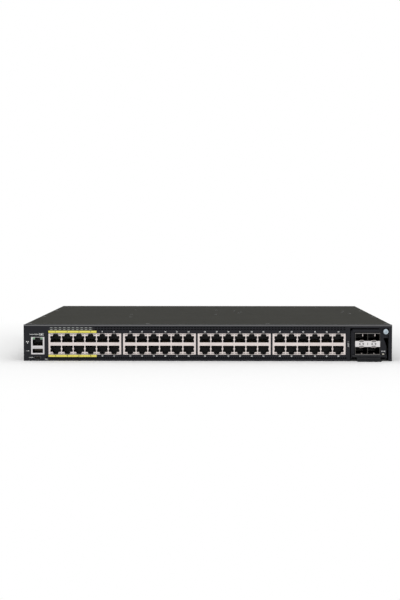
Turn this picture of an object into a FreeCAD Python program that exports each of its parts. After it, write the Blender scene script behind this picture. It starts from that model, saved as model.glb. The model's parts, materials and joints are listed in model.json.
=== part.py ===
"""Rack ethernet switch, one rack unit high, with 48 copper ports, a plug-in module,
two power supplies and two fan trays. Millimetres, +X right, +Y to the rear, +Z up.
The origin is the middle of the underside."""
import FreeCAD, Part
import math
import os

import Sketcher

V = FreeCAD.Vector

# Counts
JACK_BLOCKS = 4
PORT_COLUMNS = 6
STATUS_COLUMNS = 10
SINK_FINS = 11
FAN_BLADES = 5
GRILLE_SLOTS = 7
POWER_SUPPLIES = 2
FAN_TRAYS = 2

# Driving sizes in millimetres
SIZES = [
    # Case
    ("depth", 380.0),
    ("head_room", 10.8),
    ("wall", 1.0),
    ("bezel_depth", 3.0),
    ("bezel_round", 1.5),
    ("cover_seam", 0.3),
    ("cover_flange", 12.0),
    ("bend_inside", 0.3),
    ("lip_width", 12.0),
    ("fit_gap", 0.3),
    ("pin_gap", 0.05),
    ("screw_gap", 0.2),
    # Main board
    ("standoff_height", 4.6),
    ("standoff_corner", 2.7),
    ("board_thick", 2.0),
    ("board_edge", 2.0),
    # Jack blocks
    ("left_strip", 29.7),
    ("jack_gap", 2.3),
    ("jack_recess", 0.5),
    ("jack_depth", 39.5),
    ("jack_side", 1.6),
    ("jack_rim", 0.75),
    ("shield_thick", 0.4),
    ("housing_depth", 14.0),
    ("window_gap", 0.3),
    ("port_pitch", 13.97),
    ("port_width", 12.2),
    ("port_height", 7.65),
    ("latch_width", 6.8),
    ("latch_height", 2.25),
    ("port_band", 3.9),
    # Management stack
    ("management_inset", 16.75),
    ("management_width", 16.1),
    ("management_height", 21.0),
    ("management_depth", 24.0),
    ("management_jack_base", 10.5),
    ("management_led_width", 2.4),
    ("management_led_height", 1.8),
    ("management_led_proud", 0.25),
    ("usb_width", 12.5),
    ("usb_height", 5.1),
    ("usb_base", 1.7),
    ("usb_depth", 15.0),
    ("tongue_width", 11.2),
    ("tongue_thick", 1.9),
    ("tongue_length", 9.5),
    # Console socket
    ("console_inset", 16.5),
    ("console_width", 7.7),
    ("console_foot", 6.0),
    ("console_height", 3.9),
    ("console_knee", 1.6),
    ("console_depth", 9.0),
    ("console_back", 2.0),
    ("console_tongue_width", 4.8),
    ("console_tongue_thick", 0.9),
    ("console_tongue_length", 5.0),
    # Reset button
    ("reset_inset", 27.8),
    ("reset_level", 4.0),
    ("reset_radius", 0.9),
    ("reset_recess", 2.5),
    ("reset_length", 13.5),
    ("reset_engaged", 4.0),
    ("reset_travel", 1.0),
    ("reset_switch_width", 6.0),
    ("reset_switch_depth", 7.0),
    ("reset_switch_height", 3.4),
    # Status lights and vents
    ("status_inset", 30.6),
    ("status_width", 51.9),
    ("status_height", 4.2),
    ("status_recess", 0.4),
    ("status_lens_width", 2.6),
    ("status_lens_height", 0.7),
    ("status_lens_proud", 0.3),
    ("strip_gap", 0.6),
    ("vent_drop", 5.0),
    ("vent_margin", 3.5),
    ("vent_thick", 1.2),
    ("vent_recess", 0.3),
    ("vent_pitch", 3.71),
    ("vent_row_pitch", 2.25),
    ("vent_hole_width", 2.3),
    ("vent_hole_height", 1.15),
    ("low_vent_level", 3.45),
    ("low_vent_rail", 0.3),
    ("low_vent_pitch", 2.6),
    ("low_vent_hole_width", 1.5),
    ("low_vent_hole_height", 1.75),
    # Module bay and module
    ("bay_gap", 5.32),
    ("bay_margin", 4.0),
    ("bay_head", 4.1),
    ("module_recess", 2.5),
    ("module_face", 1.2),
    ("module_notch", 2.0),
    ("module_notch_base", 17.8),
    ("module_notch_top", 27.5),
    ("module_notch_slant", 3.7),
    ("module_left_gap", 1.2),
    ("module_head_gap", 1.2),
    ("module_ear_width", 10.9),
    ("module_corner_width", 1.6),
    ("module_corner_drop", 2.1),
    ("module_foot_lift", 2.9),
    ("carrier_depth", 140.0),
    ("carrier_flange", 8.0),
    ("carrier_boss", 3.7),
    ("carrier_boss_corner", 2.4),
    ("carrier_boss_inset", 8.0),
    ("module_board_thick", 1.6),
    ("module_board_edge", 1.5),
    ("module_board_back", 6.0),
    ("connector_width", 26.0),
    ("connector_height", 8.0),
    ("connector_depth", 13.0),
    ("connector_overhang", 9.0),
    ("cage_inset", 6.3),
    ("cage_right", 10.0),
    ("cage_wall", 0.5),
    ("cage_rim", 0.6),
    ("cage_recess", 1.3),
    ("cage_depth", 48.0),
    ("cage_port_width", 14.1),
    ("cage_port_height", 8.8),
    ("cage_band", 7.0),
    ("cage_notch_width", 6.4),
    ("cage_notch_top", 4.4),
    ("cage_notch_rise", 1.3),
    ("arrow_radius", 1.4),
    ("arrow_offset", 2.0),
    ("arrow_proud", 0.15),
    ("module_lamp_width", 2.6),
    ("module_lamp_height", 1.1),
    ("module_lamp_right", 6.1),
    ("module_lamp_level", 8.3),
    ("tab_start", 3.3),
    ("tab_width", 32.0),
    ("tab_height", 2.9),
    ("tab_proud", 1.6),
    ("tab_lift", 1.4),
    ("module_screw_right", 3.7),
    ("module_screw_drop", 4.2),
    ("module_screw_head", 3.3),
    ("module_screw_head_length", 5.0),
    ("module_screw_shank", 1.4),
    ("module_screw_length", 15.5),
    ("anchor_size", 6.4),
    ("anchor_setback", 7.0),
    # Ejector handle
    ("hinge_level", 6.0),
    ("hinge_reach", 1.8),
    ("hinge_pin", 0.8),
    ("hinge_knuckle", 1.6),
    ("hinge_ear_thick", 1.0),
    ("hinge_ear_half", 2.0),
    ("handle_base", 0.3),
    ("handle_lip_thick", 1.0),
    ("handle_lip_start", 2.0),
    ("handle_lip_width", 28.3),
    ("handle_reach", 9.5),
    ("handle_plate", 1.4),
    ("handle_round", 0.4),
    # Rear units
    ("unit_head", 1.3),
    ("unit_proud", 2.0),
    ("unit_face", 1.5),
    ("hub_radius", 7.0),
    ("hub_depth", 10.0),
    ("motor_depth", 5.0),
    ("motor_gap", 0.6),
    ("shaft_radius", 1.5),
    ("blade_thick", 1.2),
    ("blade_skew", 3.0),
    ("blade_chord", 8.0),
    ("blade_gap", 2.0),
    ("grille_bar", 1.4),
    # Power supplies
    ("psu_width", 73.0),
    ("psu_length", 186.0),
    ("psu_fan_radius", 15.5),
    ("psu_fan_inset", 23.5),
    ("inlet_inset", 15.0),
    ("inlet_width", 27.4),
    ("inlet_height", 20.0),
    ("inlet_wall", 1.6),
    ("inlet_corner", 4.5),
    ("inlet_depth", 15.0),
    ("inlet_back", 5.0),
    ("inlet_proud", 1.5),
    ("prong_width", 2.0),
    ("prong_height", 4.0),
    ("prong_length", 12.0),
    ("prong_pitch", 7.0),
    ("prong_offset", 2.0),
    ("grip_inset", 32.6),
    ("grip_width", 3.0),
    ("grip_bar", 4.5),
    ("grip_reach", 22.0),
    ("grip_margin", 6.0),
    ("grip_round", 5.0),
    ("latch_tab_thick", 2.4),
    ("latch_tab_height", 14.0),
    ("latch_tab_reach", 13.0),
    ("latch_tab_corner", 3.0),
    ("latch_foot_height", 8.0),
    ("latch_foot_depth", 8.0),
    ("latch_travel", 3.0),
    # Fan trays
    ("fan_tray_width", 44.0),
    ("fan_tray_length", 58.0),
    ("fan_tray_gap", 12.0),
    ("fan_wall", 1.6),
    ("fan_ear_width", 9.5),
    ("fan_ear_height", 13.0),
    ("thumb_head", 4.0),
    ("thumb_head_length", 9.0),
    ("thumb_shank", 1.4),
    ("thumb_length", 8.0),
    # Rear wall
    ("divider_gap", 4.0),
    ("backplane_gap", 2.5),
    ("backplane_thick", 2.0),
    ("backplane_head", 3.0),
    ("rear_vent_gap", 18.0),
    ("rear_vent_right", 26.0),
    ("rear_vent_margin", 8.0),
    ("rear_vent_pitch", 6.0),
    ("rear_vent_slot", 3.0),
    ("rear_vent_rim", 2.5),
    ("ground_inset", 13.0),
    ("ground_pitch", 15.875),
    ("ground_hole", 2.1),
    # Side bracket holes
    ("bracket_front", 22.0),
    ("bracket_pitch", 36.0),
    ("bracket_base", 12.0),
    ("bracket_rise", 14.0),
    ("bracket_hole", 1.65),
    # Heat sinks and chips
    ("chip_thick", 2.0),
    ("main_chip", 40.0),
    ("main_sink_length", 80.0),
    ("main_sink_width", 70.0),
    ("main_sink_right", 20.0),
    ("main_sink_back", 95.0),
    ("small_chip", 25.0),
    ("small_sink_length", 44.0),
    ("small_sink_width", 40.0),
    ("small_sink_right", 110.0),
    ("small_sink_back", 175.0),
    ("sink_base", 3.5),
    ("sink_fin", 1.2),
    ("sink_head", 4.0),
]

doc = FreeCAD.newDocument("EthernetSwitch")
pieces = []


class Size:
    """A length: its value in millimetres and the spreadsheet formula that gives it."""

    def __init__(self, value, formula):
        self.value = value
        self.formula = formula

    def __add__(self, other):
        other = as_size(other)
        return Size(self.value + other.value, f"({self.formula} + {other.formula})")

    def __radd__(self, other):
        return as_size(other) + self

    def __sub__(self, other):
        other = as_size(other)
        return Size(self.value - other.value, f"({self.formula} - {other.formula})")

    def __rsub__(self, other):
        return as_size(other) - self

    def __mul__(self, other):
        other = as_size(other)
        return Size(self.value * other.value, f"({self.formula} * {other.formula})")

    def __rmul__(self, other):
        return as_size(other) * self

    def __truediv__(self, other):
        other = as_size(other)
        return Size(self.value / other.value, f"({self.formula} / {other.formula})")

    def __neg__(self):
        return Size(-self.value, f"(-1 * {self.formula})")


def as_size(value):
    """Take a plain number as a size without a cell."""
    if isinstance(value, Size):
        return value
    return Size(float(value), str(value))


def whole(size):
    """Round a ratio down to a count."""
    return Size(math.floor(size.value), f"floor({size.formula})")


def chord_half(radius, offset):
    """Give half the chord of a circle at a distance from its middle."""
    square = radius * radius - offset * offset
    return Size(math.sqrt(square.value), f"sqrt({square.formula})")


def make_sheet():
    """Write the driving sizes to the spreadsheet and read them back as Size values."""
    sheet = doc.addObject("Spreadsheet::Sheet", "Dims")
    for row, (alias, value) in enumerate(SIZES, 1):
        sheet.set(f"A{row}", alias)
        sheet.set(f"B{row}", str(value))
        sheet.setAlias(f"B{row}", alias)
    doc.recompute()
    return {alias: Size(float(sheet.get(alias)), f"Dims.{alias}") for alias, _ in SIZES}


def bind(item, path, size):
    """Bind one property of an object to a spreadsheet formula."""
    item.setExpression(path, as_size(size).formula)


def place(item, x, y, z):
    """Bind the place of an object, with its rotation kept."""
    bind(item, "Placement.Base.x", x)
    bind(item, "Placement.Base.y", y)
    bind(item, "Placement.Base.z", z)


def rect(left, low, right, high):
    """Give the corners of a rectangle."""
    return [(left, low), (right, low), (right, high), (left, high)]


def hexagon(x, y, corner):
    """Give the corners of a hexagon, each this far from its middle."""
    flat = corner * (math.sqrt(3) / 2)
    slope = corner / 2
    return [(x - corner, y), (x - slope, y - flat), (x + slope, y - flat), (x + corner, y),
            (x + slope, y + flat), (x - slope, y + flat)]


def nut_seat(x, y, radius):
    """Give a hexagon that a rod of this radius passes through."""
    return hexagon(x, y, radius * (2 / math.sqrt(3)))


class Piece:
    """A body built from sketches, with each pad or cut running from low to high along its axis."""

    def __init__(self, name):
        self.body = doc.addObject("PartDesign::Body", name)
        self.body.Label = name
        self.origin = {feature.Role: feature for feature in self.body.Origin.OriginFeatures}
        pieces.append(self.body)

    def sketch(self, plane, at, outlines, circles):
        """Draw closed outlines and circles on a plane at a distance from the origin."""
        sketch = self.body.newObject("Sketcher::SketchObject", f"{self.body.Name}_sketch")
        sketch.AttachmentSupport = [(self.origin[f"{plane}_Plane"], "")]
        sketch.MapMode = "FlatFace"
        bind(sketch, "AttachmentOffset.Base.z", -at if plane == "XZ" else at)
        for outline in outlines:
            draw_outline(sketch, outline)
        for x, y, radius in circles:
            draw_circle(sketch, x, y, radius)
        return sketch

    def feature(self, kind, plane, low, high, outlines, circles, reverse):
        """Add a pad or pocket whose sketch lies at the low end."""
        sketch = self.sketch(plane, as_size(low), outlines, circles)
        feature = self.body.newObject(f"PartDesign::{kind}", f"{self.body.Name}_{kind.lower()}")
        feature.Profile = sketch
        feature.Reversed = reverse
        bind(feature, "Length", as_size(high) - low)
        self.body.Tip = feature
        return feature

    def pad(self, plane, low, high, outlines=(), circles=()):
        return self.feature("Pad", plane, low, high, outlines, circles, plane == "XZ")

    def cut(self, plane, low, high, outlines=(), circles=()):
        return self.feature("Pocket", plane, low, high, outlines, circles, plane != "XZ")

    def row(self, feature, spacing, count):
        """Repeat a feature along X."""
        pattern = self.body.newObject("PartDesign::LinearPattern", f"{self.body.Name}_row")
        pattern.Originals = [feature]
        pattern.Direction = (self.origin["X_Axis"], [""])
        bind(pattern, "Occurrences", count)
        bind(pattern, "Length", spacing * (as_size(count) - 1))
        self.body.Tip = pattern

    def ring(self, feature, count):
        """Repeat a feature round the Y axis."""
        pattern = self.body.newObject("PartDesign::PolarPattern", f"{self.body.Name}_ring")
        pattern.Originals = [feature]
        pattern.Axis = (self.origin["Y_Axis"], [""])
        pattern.Angle = 360.0
        pattern.Occurrences = count
        self.body.Tip = pattern

    def round_edges(self, radius, chosen):
        """Round the edges for which chosen says yes."""
        doc.recompute()
        base = self.body.Tip
        names = [f"Edge{n}" for n, edge in enumerate(base.Shape.Edges, 1) if chosen(edge)]
        fillet = self.body.newObject("PartDesign::Fillet", f"{self.body.Name}_round")
        fillet.Base = (base, names)
        bind(fillet, "Radius", radius)
        self.body.Tip = fillet


def draw_outline(sketch, points):
    """Draw a closed polygon with every corner bound to the sheet."""
    first = sketch.GeometryCount
    corners = [(as_size(x), as_size(y)) for x, y in points]
    lines = []
    for here, there in zip(corners, corners[1:] + corners[:1]):
        start = V(here[0].value, here[1].value, 0)
        lines.append(Part.LineSegment(start, V(there[0].value, there[1].value, 0)))
    sketch.addGeometry(lines, False)
    joins = []
    distances = []
    for n, corner in enumerate(corners):
        joins.append(Sketcher.Constraint("Coincident", first + n, 2, first + (n + 1) % len(corners), 1))
        for kind, size in zip(("DistanceX", "DistanceY"), corner):
            distances.append(Sketcher.Constraint(kind, -1, 1, first + n, 1, size.value))
    sketch.addConstraint(joins)
    indices = sketch.addConstraint(distances)
    for index, size in zip(indices, [size for corner in corners for size in corner]):
        bind(sketch, f"Constraints[{index}]", size)


def draw_circle(sketch, x, y, radius):
    """Draw a circle with its middle and radius bound to the sheet."""
    x, y, radius = as_size(x), as_size(y), as_size(radius)
    circle = Part.Circle(V(x.value, y.value, 0), V(0, 0, 1), radius.value)
    index = sketch.addGeometry(circle, False)
    indices = sketch.addConstraint([
        Sketcher.Constraint("DistanceX", -1, 1, index, 3, x.value),
        Sketcher.Constraint("DistanceY", -1, 1, index, 3, y.value),
        Sketcher.Constraint("Radius", index, radius.value)])
    for constraint, size in zip(indices, (x, y, radius)):
        bind(sketch, f"Constraints[{constraint}]", size)


def box(name, low, high):
    """Make a block between two corners."""
    item = doc.addObject("Part::Box", name)
    for path, start, end in zip(("Length", "Width", "Height"), low, high):
        bind(item, path, as_size(end) - start)
    place(item, *low)
    return item


def rod(name, x, y, z, radius, length, axis="Z"):
    """Make a round rod that starts at a point and runs along +X, +Y or +Z."""
    item = doc.addObject("Part::Cylinder", name)
    turns = {"X": FreeCAD.Rotation(V(0, 1, 0), 90), "Y": FreeCAD.Rotation(V(1, 0, 0), -90)}
    if axis in turns:
        item.Placement = FreeCAD.Placement(V(), turns[axis])
    bind(item, "Radius", radius)
    bind(item, "Height", length)
    place(item, x, y, z)
    return item


def fuse(name, items):
    """Join solids into one."""
    item = doc.addObject("Part::MultiFuse", name)
    item.Shapes = items
    return item


def group(name, items):
    """Keep like solids together as one named piece."""
    item = doc.addObject("Part::Compound", name)
    item.Links = items
    return item


def keep(item, name):
    """List an object as a piece of the switch under its own name."""
    item.Label = name
    pieces.append(item)
    return item


d = make_sheet()

# Places that several pieces share
jack_width = PORT_COLUMNS * d["port_pitch"] + 2 * d["jack_side"]
jack_height = 2 * (d["port_height"] + d["latch_height"] + d["jack_rim"]) + d["port_band"]
cage_width = 2 * d["cage_port_width"] + 3 * d["cage_wall"]
cage_height = 2 * (d["cage_port_height"] + d["cage_rim"]) + d["cage_band"]
bay_width = d["cage_inset"] + cage_width + d["cage_right"]
jack_row = JACK_BLOCKS * jack_width + (JACK_BLOCKS - 1) * d["jack_gap"]
width = d["left_strip"] + jack_row + d["bay_gap"] + bay_width + d["bay_margin"]
half = width / 2
front = -d["depth"] / 2
rear = d["depth"] / 2
wall_front = front + d["bezel_depth"]
inner_front = wall_front + d["wall"]
inner_rear = rear - d["wall"]
tray_half = half - d["wall"]
inner_half = tray_half - d["wall"]
floor = d["wall"]
board_low = floor + d["standoff_height"]
board_top = board_low + d["board_thick"]
height = board_top + jack_height + d["head_room"]
tray_top = height - d["wall"]
lip_low = tray_top - d["wall"]
jack_face = front + d["jack_recess"]
jack_left = -half + d["left_strip"]
bay_right = half - d["bay_margin"]
bay_left = bay_right - bay_width
bay_high = height - d["bay_head"]
vent_level = height - d["vent_drop"]
vent_right = bay_left - d["vent_margin"]
vent_half = (d["vent_row_pitch"] + d["vent_hole_height"]) / 2
low_vent_low = d["low_vent_level"] - d["low_vent_hole_height"] / 2
low_vent_high = d["low_vent_level"] + d["low_vent_hole_height"] / 2 + d["low_vent_rail"]
bend_outside = d["wall"] + d["bend_inside"]
status_left = -half + d["status_inset"]
status_right = status_left + d["status_width"]
vent_left = status_right + d["strip_gap"]
management_x = -half + d["management_inset"]
console_x = -half + d["console_inset"]
console_base = board_low - d["console_height"]
reset_x = -half + d["reset_inset"]
unit_base = floor + d["fit_gap"]
unit_height = lip_low - d["unit_head"] - unit_base
unit_rear = rear + d["unit_proud"]
divider_pitch = d["psu_width"] + 2 * d["fit_gap"] + d["wall"]
psu_first = -inner_half + d["fit_gap"] + d["psu_width"] / 2
psu_inner = unit_rear - d["psu_length"]
dividers_right = -inner_half + POWER_SUPPLIES * divider_pitch
fan_pitch = d["fan_tray_width"] + d["fan_tray_gap"]
fan_first = dividers_right + d["divider_gap"] + d["fan_tray_width"] / 2
fan_right = fan_first + (FAN_TRAYS - 1) * fan_pitch + d["fan_tray_width"] / 2
fan_radius = unit_height / 2 - d["fan_wall"]
thumb_x = d["fan_tray_width"] / 2 + d["fan_ear_width"] / 2
thumb_z = unit_height / 2
rear_vent_left = fan_right + d["rear_vent_gap"]
rear_vent_right = tray_half - d["rear_vent_right"]
rear_vent_low = d["rear_vent_margin"]
rear_vent_high = tray_top - d["rear_vent_margin"]


def jack_x(block):
    """Give the middle of a jack block."""
    return jack_left + jack_width / 2 + block * (jack_width + d["jack_gap"])


def psu_x(number):
    return psu_first + number * divider_pitch


def fan_x(number):
    return fan_first + number * fan_pitch


# Case
def front_windows():
    """Give the openings that the bezel and the front wall share."""
    gap = d["window_gap"]
    windows = []
    for block in range(JACK_BLOCKS):
        reach = jack_width / 2 + gap
        windows.append(rect(jack_x(block) - reach, board_top - gap, jack_x(block) + reach,
                            board_top + jack_height + gap))
    reach = d["management_width"] / 2 + gap
    windows.append(rect(management_x - reach, board_top - gap, management_x + reach,
                        board_top + d["management_height"] + gap))
    reach = d["console_width"] / 2 + gap
    windows.append(rect(console_x - reach, console_base - gap, console_x + reach, board_low + gap))
    strip = d["status_height"] / 2
    windows.append(rect(status_left, vent_level - strip, status_right, vent_level + strip))
    windows.append(rect(vent_left, vent_level - vent_half, vent_right, vent_level + vent_half))
    windows.append(rect(jack_left, low_vent_low, vent_right, low_vent_high))
    return windows


def reset_hole():
    return [(reset_x, d["reset_level"], d["reset_radius"] + d["screw_gap"])]


def make_bezel():
    bezel = Piece("front_bezel")
    bezel.pad("XZ", front, wall_front, [rect(-half, 0, half, height)])
    bay = rect(bay_left, 0, bay_right, bay_high)
    bezel.cut("XZ", front, wall_front, front_windows() + [bay], reset_hole())

    def top_front(edge):
        middle = edge.BoundBox.Center
        return abs(middle.y - front.value) < 0.01 and abs(middle.z - height.value) < 0.01

    bezel.round_edges(d["bezel_round"], top_front)


def rear_windows():
    """Give the openings for the rear units and the vent."""
    gap = d["fit_gap"]
    top = unit_base + unit_height + gap
    windows = []
    for number in range(POWER_SUPPLIES):
        reach = d["psu_width"] / 2 + gap
        windows.append(rect(psu_x(number) - reach, floor, psu_x(number) + reach, top))
    for number in range(FAN_TRAYS):
        reach = d["fan_tray_width"] / 2 + gap
        windows.append(rect(fan_x(number) - reach, floor, fan_x(number) + reach, top))
    windows.append(rect(rear_vent_left, rear_vent_low, rear_vent_right, rear_vent_high))
    return windows


def ground_holes():
    """Give the two holes of the rear wall that an earthing lug is screwed to."""
    x = tray_half - d["ground_inset"]
    return [(x, height / 2 + side * d["ground_pitch"], d["ground_hole"]) for side in (-0.5, 0.5)]


def thumb_nuts():
    """Give the seats in the rear wall of the nuts that the fan trays' screws go into."""
    radius = d["thumb_shank"] + d["screw_gap"]
    return [nut_seat(fan_x(number) + thumb_x, unit_base + thumb_z, radius) for number in range(FAN_TRAYS)]


def bracket_holes():
    """Give the threaded holes of one side that a rack bracket is screwed to, two by two."""
    holes = []
    first = front + d["bracket_front"]
    for along in (first, first + d["bracket_pitch"]):
        for level in (d["bracket_base"], d["bracket_base"] + d["bracket_rise"]):
            holes.append((along, level, d["bracket_hole"]))
    return holes


def make_tray():
    tray = Piece("chassis_tray")
    lip = d["lip_width"]
    tray.pad("XY", 0, tray_top, [rect(-tray_half, wall_front, tray_half, rear)])

    def side_bend(edge):
        middle = edge.BoundBox.Center
        return abs(abs(middle.x) - tray_half.value) < 0.01 and abs(middle.z) < 0.01

    tray.round_edges(bend_outside, side_bend)
    tray.cut("XY", lip_low, tray_top,
             [rect(-inner_half + lip, inner_front + lip, inner_half - lip, inner_rear - lip)])
    tray.cut("XY", floor, lip_low, [rect(-inner_half, inner_front, inner_half, inner_rear)])
    reach = d["reset_radius"] + d["screw_gap"]
    reset_window = rect(reset_x - reach, d["reset_level"] - reach, reset_x + reach, d["reset_level"] + reach)
    bay = rect(bay_left, floor, bay_right, bay_high)
    tray.cut("XZ", wall_front, inner_front, front_windows() + [reset_window, bay])
    tray.cut("XZ", inner_rear, rear, rear_windows() + thumb_nuts(), ground_holes())
    tray.cut("YZ", -tray_half, -inner_half, circles=bracket_holes())
    tray.cut("YZ", inner_half, tray_half, circles=bracket_holes())


def make_cover():
    """Make the folded cover, whose flanges go down outside the tray."""
    cover = Piece("top_cover")
    low = height - d["cover_flange"]
    outline = [(-half, low), (-tray_half, low), (-tray_half, tray_top), (tray_half, tray_top),
               (tray_half, low), (half, low), (half, height), (-half, height)]
    cover.pad("XZ", wall_front + d["cover_seam"], rear, [outline])

    def side_bend(edge):
        middle = edge.BoundBox.Center
        return abs(abs(middle.x) - half.value) < 0.01 and abs(middle.z - height.value) < 0.01

    cover.round_edges(bend_outside, side_bend)


def make_vent_screen(name, left, right, low, high, pitch, hole_width, rows):
    """Make a toothed strip that turns a slot of the bezel into rows of holes, each from bottom to top."""
    screen = Piece(name)
    near = front + d["vent_recess"]
    far = near + d["vent_thick"]
    screen.pad("XZ", near, far, [rect(left, low, right, high)])
    count = whole((right - left) / pitch)
    first = (left + right) / 2 - (count - 1) * pitch / 2
    holes = [rect(first - hole_width / 2, bottom, first + hole_width / 2, top) for bottom, top in rows]
    screen.row(screen.cut("XZ", near, far, holes), pitch, count)


def make_vents():
    rail = (d["vent_row_pitch"] - d["vent_hole_height"]) / 2
    low = vent_level - vent_half
    high = vent_level + vent_half
    make_vent_screen("vent_screen_top", vent_left, vent_right, low, high, d["vent_pitch"],
                     d["vent_hole_width"], [(low, vent_level - rail), (vent_level + rail, high)])
    make_vent_screen("vent_screen_bottom", jack_left, vent_right, low_vent_low, low_vent_high,
                     d["low_vent_pitch"], d["low_vent_hole_width"],
                     [(low_vent_low, low_vent_low + d["low_vent_hole_height"])])
    screen = Piece("rear_vent_screen")
    screen.pad("XZ", inner_rear, rear, [rect(rear_vent_left, rear_vent_low, rear_vent_right, rear_vent_high)])
    rim = d["rear_vent_rim"]
    count = whole((rear_vent_right - rear_vent_left) / d["rear_vent_pitch"])
    first = (rear_vent_left + rear_vent_right) / 2 - (count - 1) * d["rear_vent_pitch"] / 2
    slot = rect(first - d["rear_vent_slot"] / 2, rear_vent_low + rim, first + d["rear_vent_slot"] / 2,
                rear_vent_high - rim)
    screen.row(screen.cut("XZ", inner_rear, rear, [slot]), d["rear_vent_pitch"], count)


def make_status_bar():
    """Make the moulded strip of light pipes with its small lenses."""
    bar = Piece("status_light_bar")
    strip = d["status_height"] / 2
    face = front + d["status_recess"]
    bar.pad("XZ", face, wall_front, [rect(status_left, vent_level - strip, status_right, vent_level + strip)])
    pitch = d["status_width"] / STATUS_COLUMNS
    first = status_left + pitch / 2
    lenses = []
    for row in (-0.5, 0.5):
        level = vent_level + row * d["vent_row_pitch"]
        lenses.append(rect(first - d["status_lens_width"] / 2, level - d["status_lens_height"] / 2,
                           first + d["status_lens_width"] / 2, level + d["status_lens_height"] / 2))
    lens = bar.pad("XZ", face - d["status_lens_proud"], face, lenses)
    bar.row(lens, pitch, STATUS_COLUMNS)


# Jacks
def socket_outline(x, base, way):
    """Give the outline of a jack opening, with its latch notch above (way 1) or below (way -1)."""
    side = d["port_width"] / 2
    notch = d["latch_width"] / 2
    shoulder = base + way * d["port_height"]
    crown = shoulder + way * d["latch_height"]
    return [(x - side, base), (x + side, base), (x + side, shoulder), (x + notch, shoulder),
            (x + notch, crown), (x - notch, crown), (x - notch, shoulder), (x - side, shoulder)]


def first_sockets():
    """Give the two openings of a block's first column."""
    x = -d["port_pitch"] * (PORT_COLUMNS - 1) / 2
    middle = jack_height / 2
    band = d["port_band"] / 2
    return [socket_outline(x, middle + band, 1), socket_outline(x, middle - band, -1)]


def make_shield(name, shield_width, shield_depth, shield_height):
    """Make a folded metal shield, open below and closed in front."""
    shield = Piece(name)
    skin = d["shield_thick"]
    side = shield_width / 2
    shield.pad("XY", 0, shield_height, [rect(-side, 0, side, shield_depth)])
    shield.cut("XY", 0, shield_height - skin, [rect(-side + skin, skin, side - skin, shield_depth - skin)])
    return shield


def make_jacks():
    skin = d["shield_thick"]
    inner = jack_width / 2 - skin
    back = skin + d["housing_depth"]
    blocks = []
    for block in range(JACK_BLOCKS):
        shield = make_shield(f"jack_shield_{block + 1}", jack_width, d["jack_depth"], jack_height)
        shield.row(shield.cut("XZ", 0, skin, first_sockets()), d["port_pitch"], PORT_COLUMNS)
        place(shield.body, jack_x(block), jack_face, board_top)
        housing = Piece(f"jack_housing_{block + 1}")
        housing.pad("XZ", skin, back, [rect(-inner, 0, inner, jack_height - skin)])
        housing.row(housing.cut("XZ", skin, back, first_sockets()), d["port_pitch"], PORT_COLUMNS)
        place(housing.body, jack_x(block), jack_face, board_top)
        blocks.append(box("magnetics", (jack_x(block) - inner, jack_face + back, board_top),
                          (jack_x(block) + inner, jack_face + d["jack_depth"] - skin,
                           board_top + jack_height - skin)))
    keep(group("jack_magnetics", blocks), "jack_magnetics")


def make_management():
    """Make the management jack over the USB socket, with its lamps."""
    skin = d["shield_thick"]
    inner = d["management_width"] / 2 - skin
    usb = rect(-d["usb_width"] / 2, d["usb_base"], d["usb_width"] / 2, d["usb_base"] + d["usb_height"])
    jack = socket_outline(as_size(0), d["management_jack_base"], 1)
    shield = make_shield("management_shield", d["management_width"], d["management_depth"],
                         d["management_height"])
    shield.cut("XZ", 0, skin, [usb, jack])
    housing = Piece("management_housing")
    housing.pad("XZ", skin, d["management_depth"] - skin,
                [rect(-inner, 0, inner, d["management_height"] - skin)])
    housing.cut("XZ", skin, skin + d["housing_depth"], [jack])
    housing.cut("XZ", skin, skin + d["usb_depth"], [usb])
    for piece in (shield, housing):
        place(piece.body, management_x, jack_face, board_top)
    back = jack_face + skin + d["usb_depth"]
    level = board_top + d["usb_base"] + d["usb_height"] / 2
    keep(box("usb_tongue", (management_x - d["tongue_width"] / 2, back - d["tongue_length"], level),
             (management_x + d["tongue_width"] / 2, back, level + d["tongue_thick"])), "usb_tongue")
    lamps = []
    top = board_top + d["management_height"] - d["jack_rim"]
    for way in (-1, 1):
        middle = management_x + way * (d["latch_width"] + d["port_width"]) / 4
        reach = d["management_led_width"] / 2
        lamps.append(box("lamp", (middle - reach, jack_face - d["management_led_proud"],
                                  top - d["management_led_height"]), (middle + reach, jack_face, top)))
    keep(group("management_leds", lamps), "management_leds")


def console_outline(inset):
    """Give the small socket's section, narrower at its foot."""
    side = d["console_width"] / 2 - inset
    foot = d["console_foot"] / 2 - inset
    top = d["console_height"] - inset
    return [(-foot, inset), (foot, inset), (side, d["console_knee"]), (side, top), (-side, top),
            (-side, d["console_knee"])]


def make_console():
    skin = d["shield_thick"]
    shell = Piece("console_shell")
    shell.pad("XZ", 0, d["console_depth"], [console_outline(as_size(0)), console_outline(skin)])
    tongue = Piece("console_tongue")
    back = d["console_depth"] - d["console_back"]
    tongue.pad("XZ", back, d["console_depth"], [console_outline(skin)])
    level = d["console_height"] / 2
    reach = d["console_tongue_width"] / 2
    tongue.pad("XZ", back - d["console_tongue_length"], back,
               [rect(-reach, level, reach, level + d["console_tongue_thick"])])
    for piece in (shell, tongue):
        place(piece.body, console_x, jack_face, console_base)


def make_reset():
    tip = front + d["reset_recess"]
    end = tip + d["reset_length"]
    button = Piece("reset_button")
    button.pad("XZ", tip, end, circles=[(reset_x, d["reset_level"], d["reset_radius"])])
    switch = Piece("reset_switch")
    face = end - d["reset_engaged"]
    reach = d["reset_switch_width"] / 2
    switch.pad("XZ", face, face + d["reset_switch_depth"],
               [rect(reset_x - reach, board_low - d["reset_switch_height"], reset_x + reach, board_low)])
    reach = d["reset_radius"] + d["screw_gap"]
    switch.cut("XZ", face, end + d["reset_travel"] + d["fit_gap"],
               [rect(reset_x - reach, d["reset_level"] - reach, reset_x + reach, d["reset_level"] + reach)])


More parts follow.
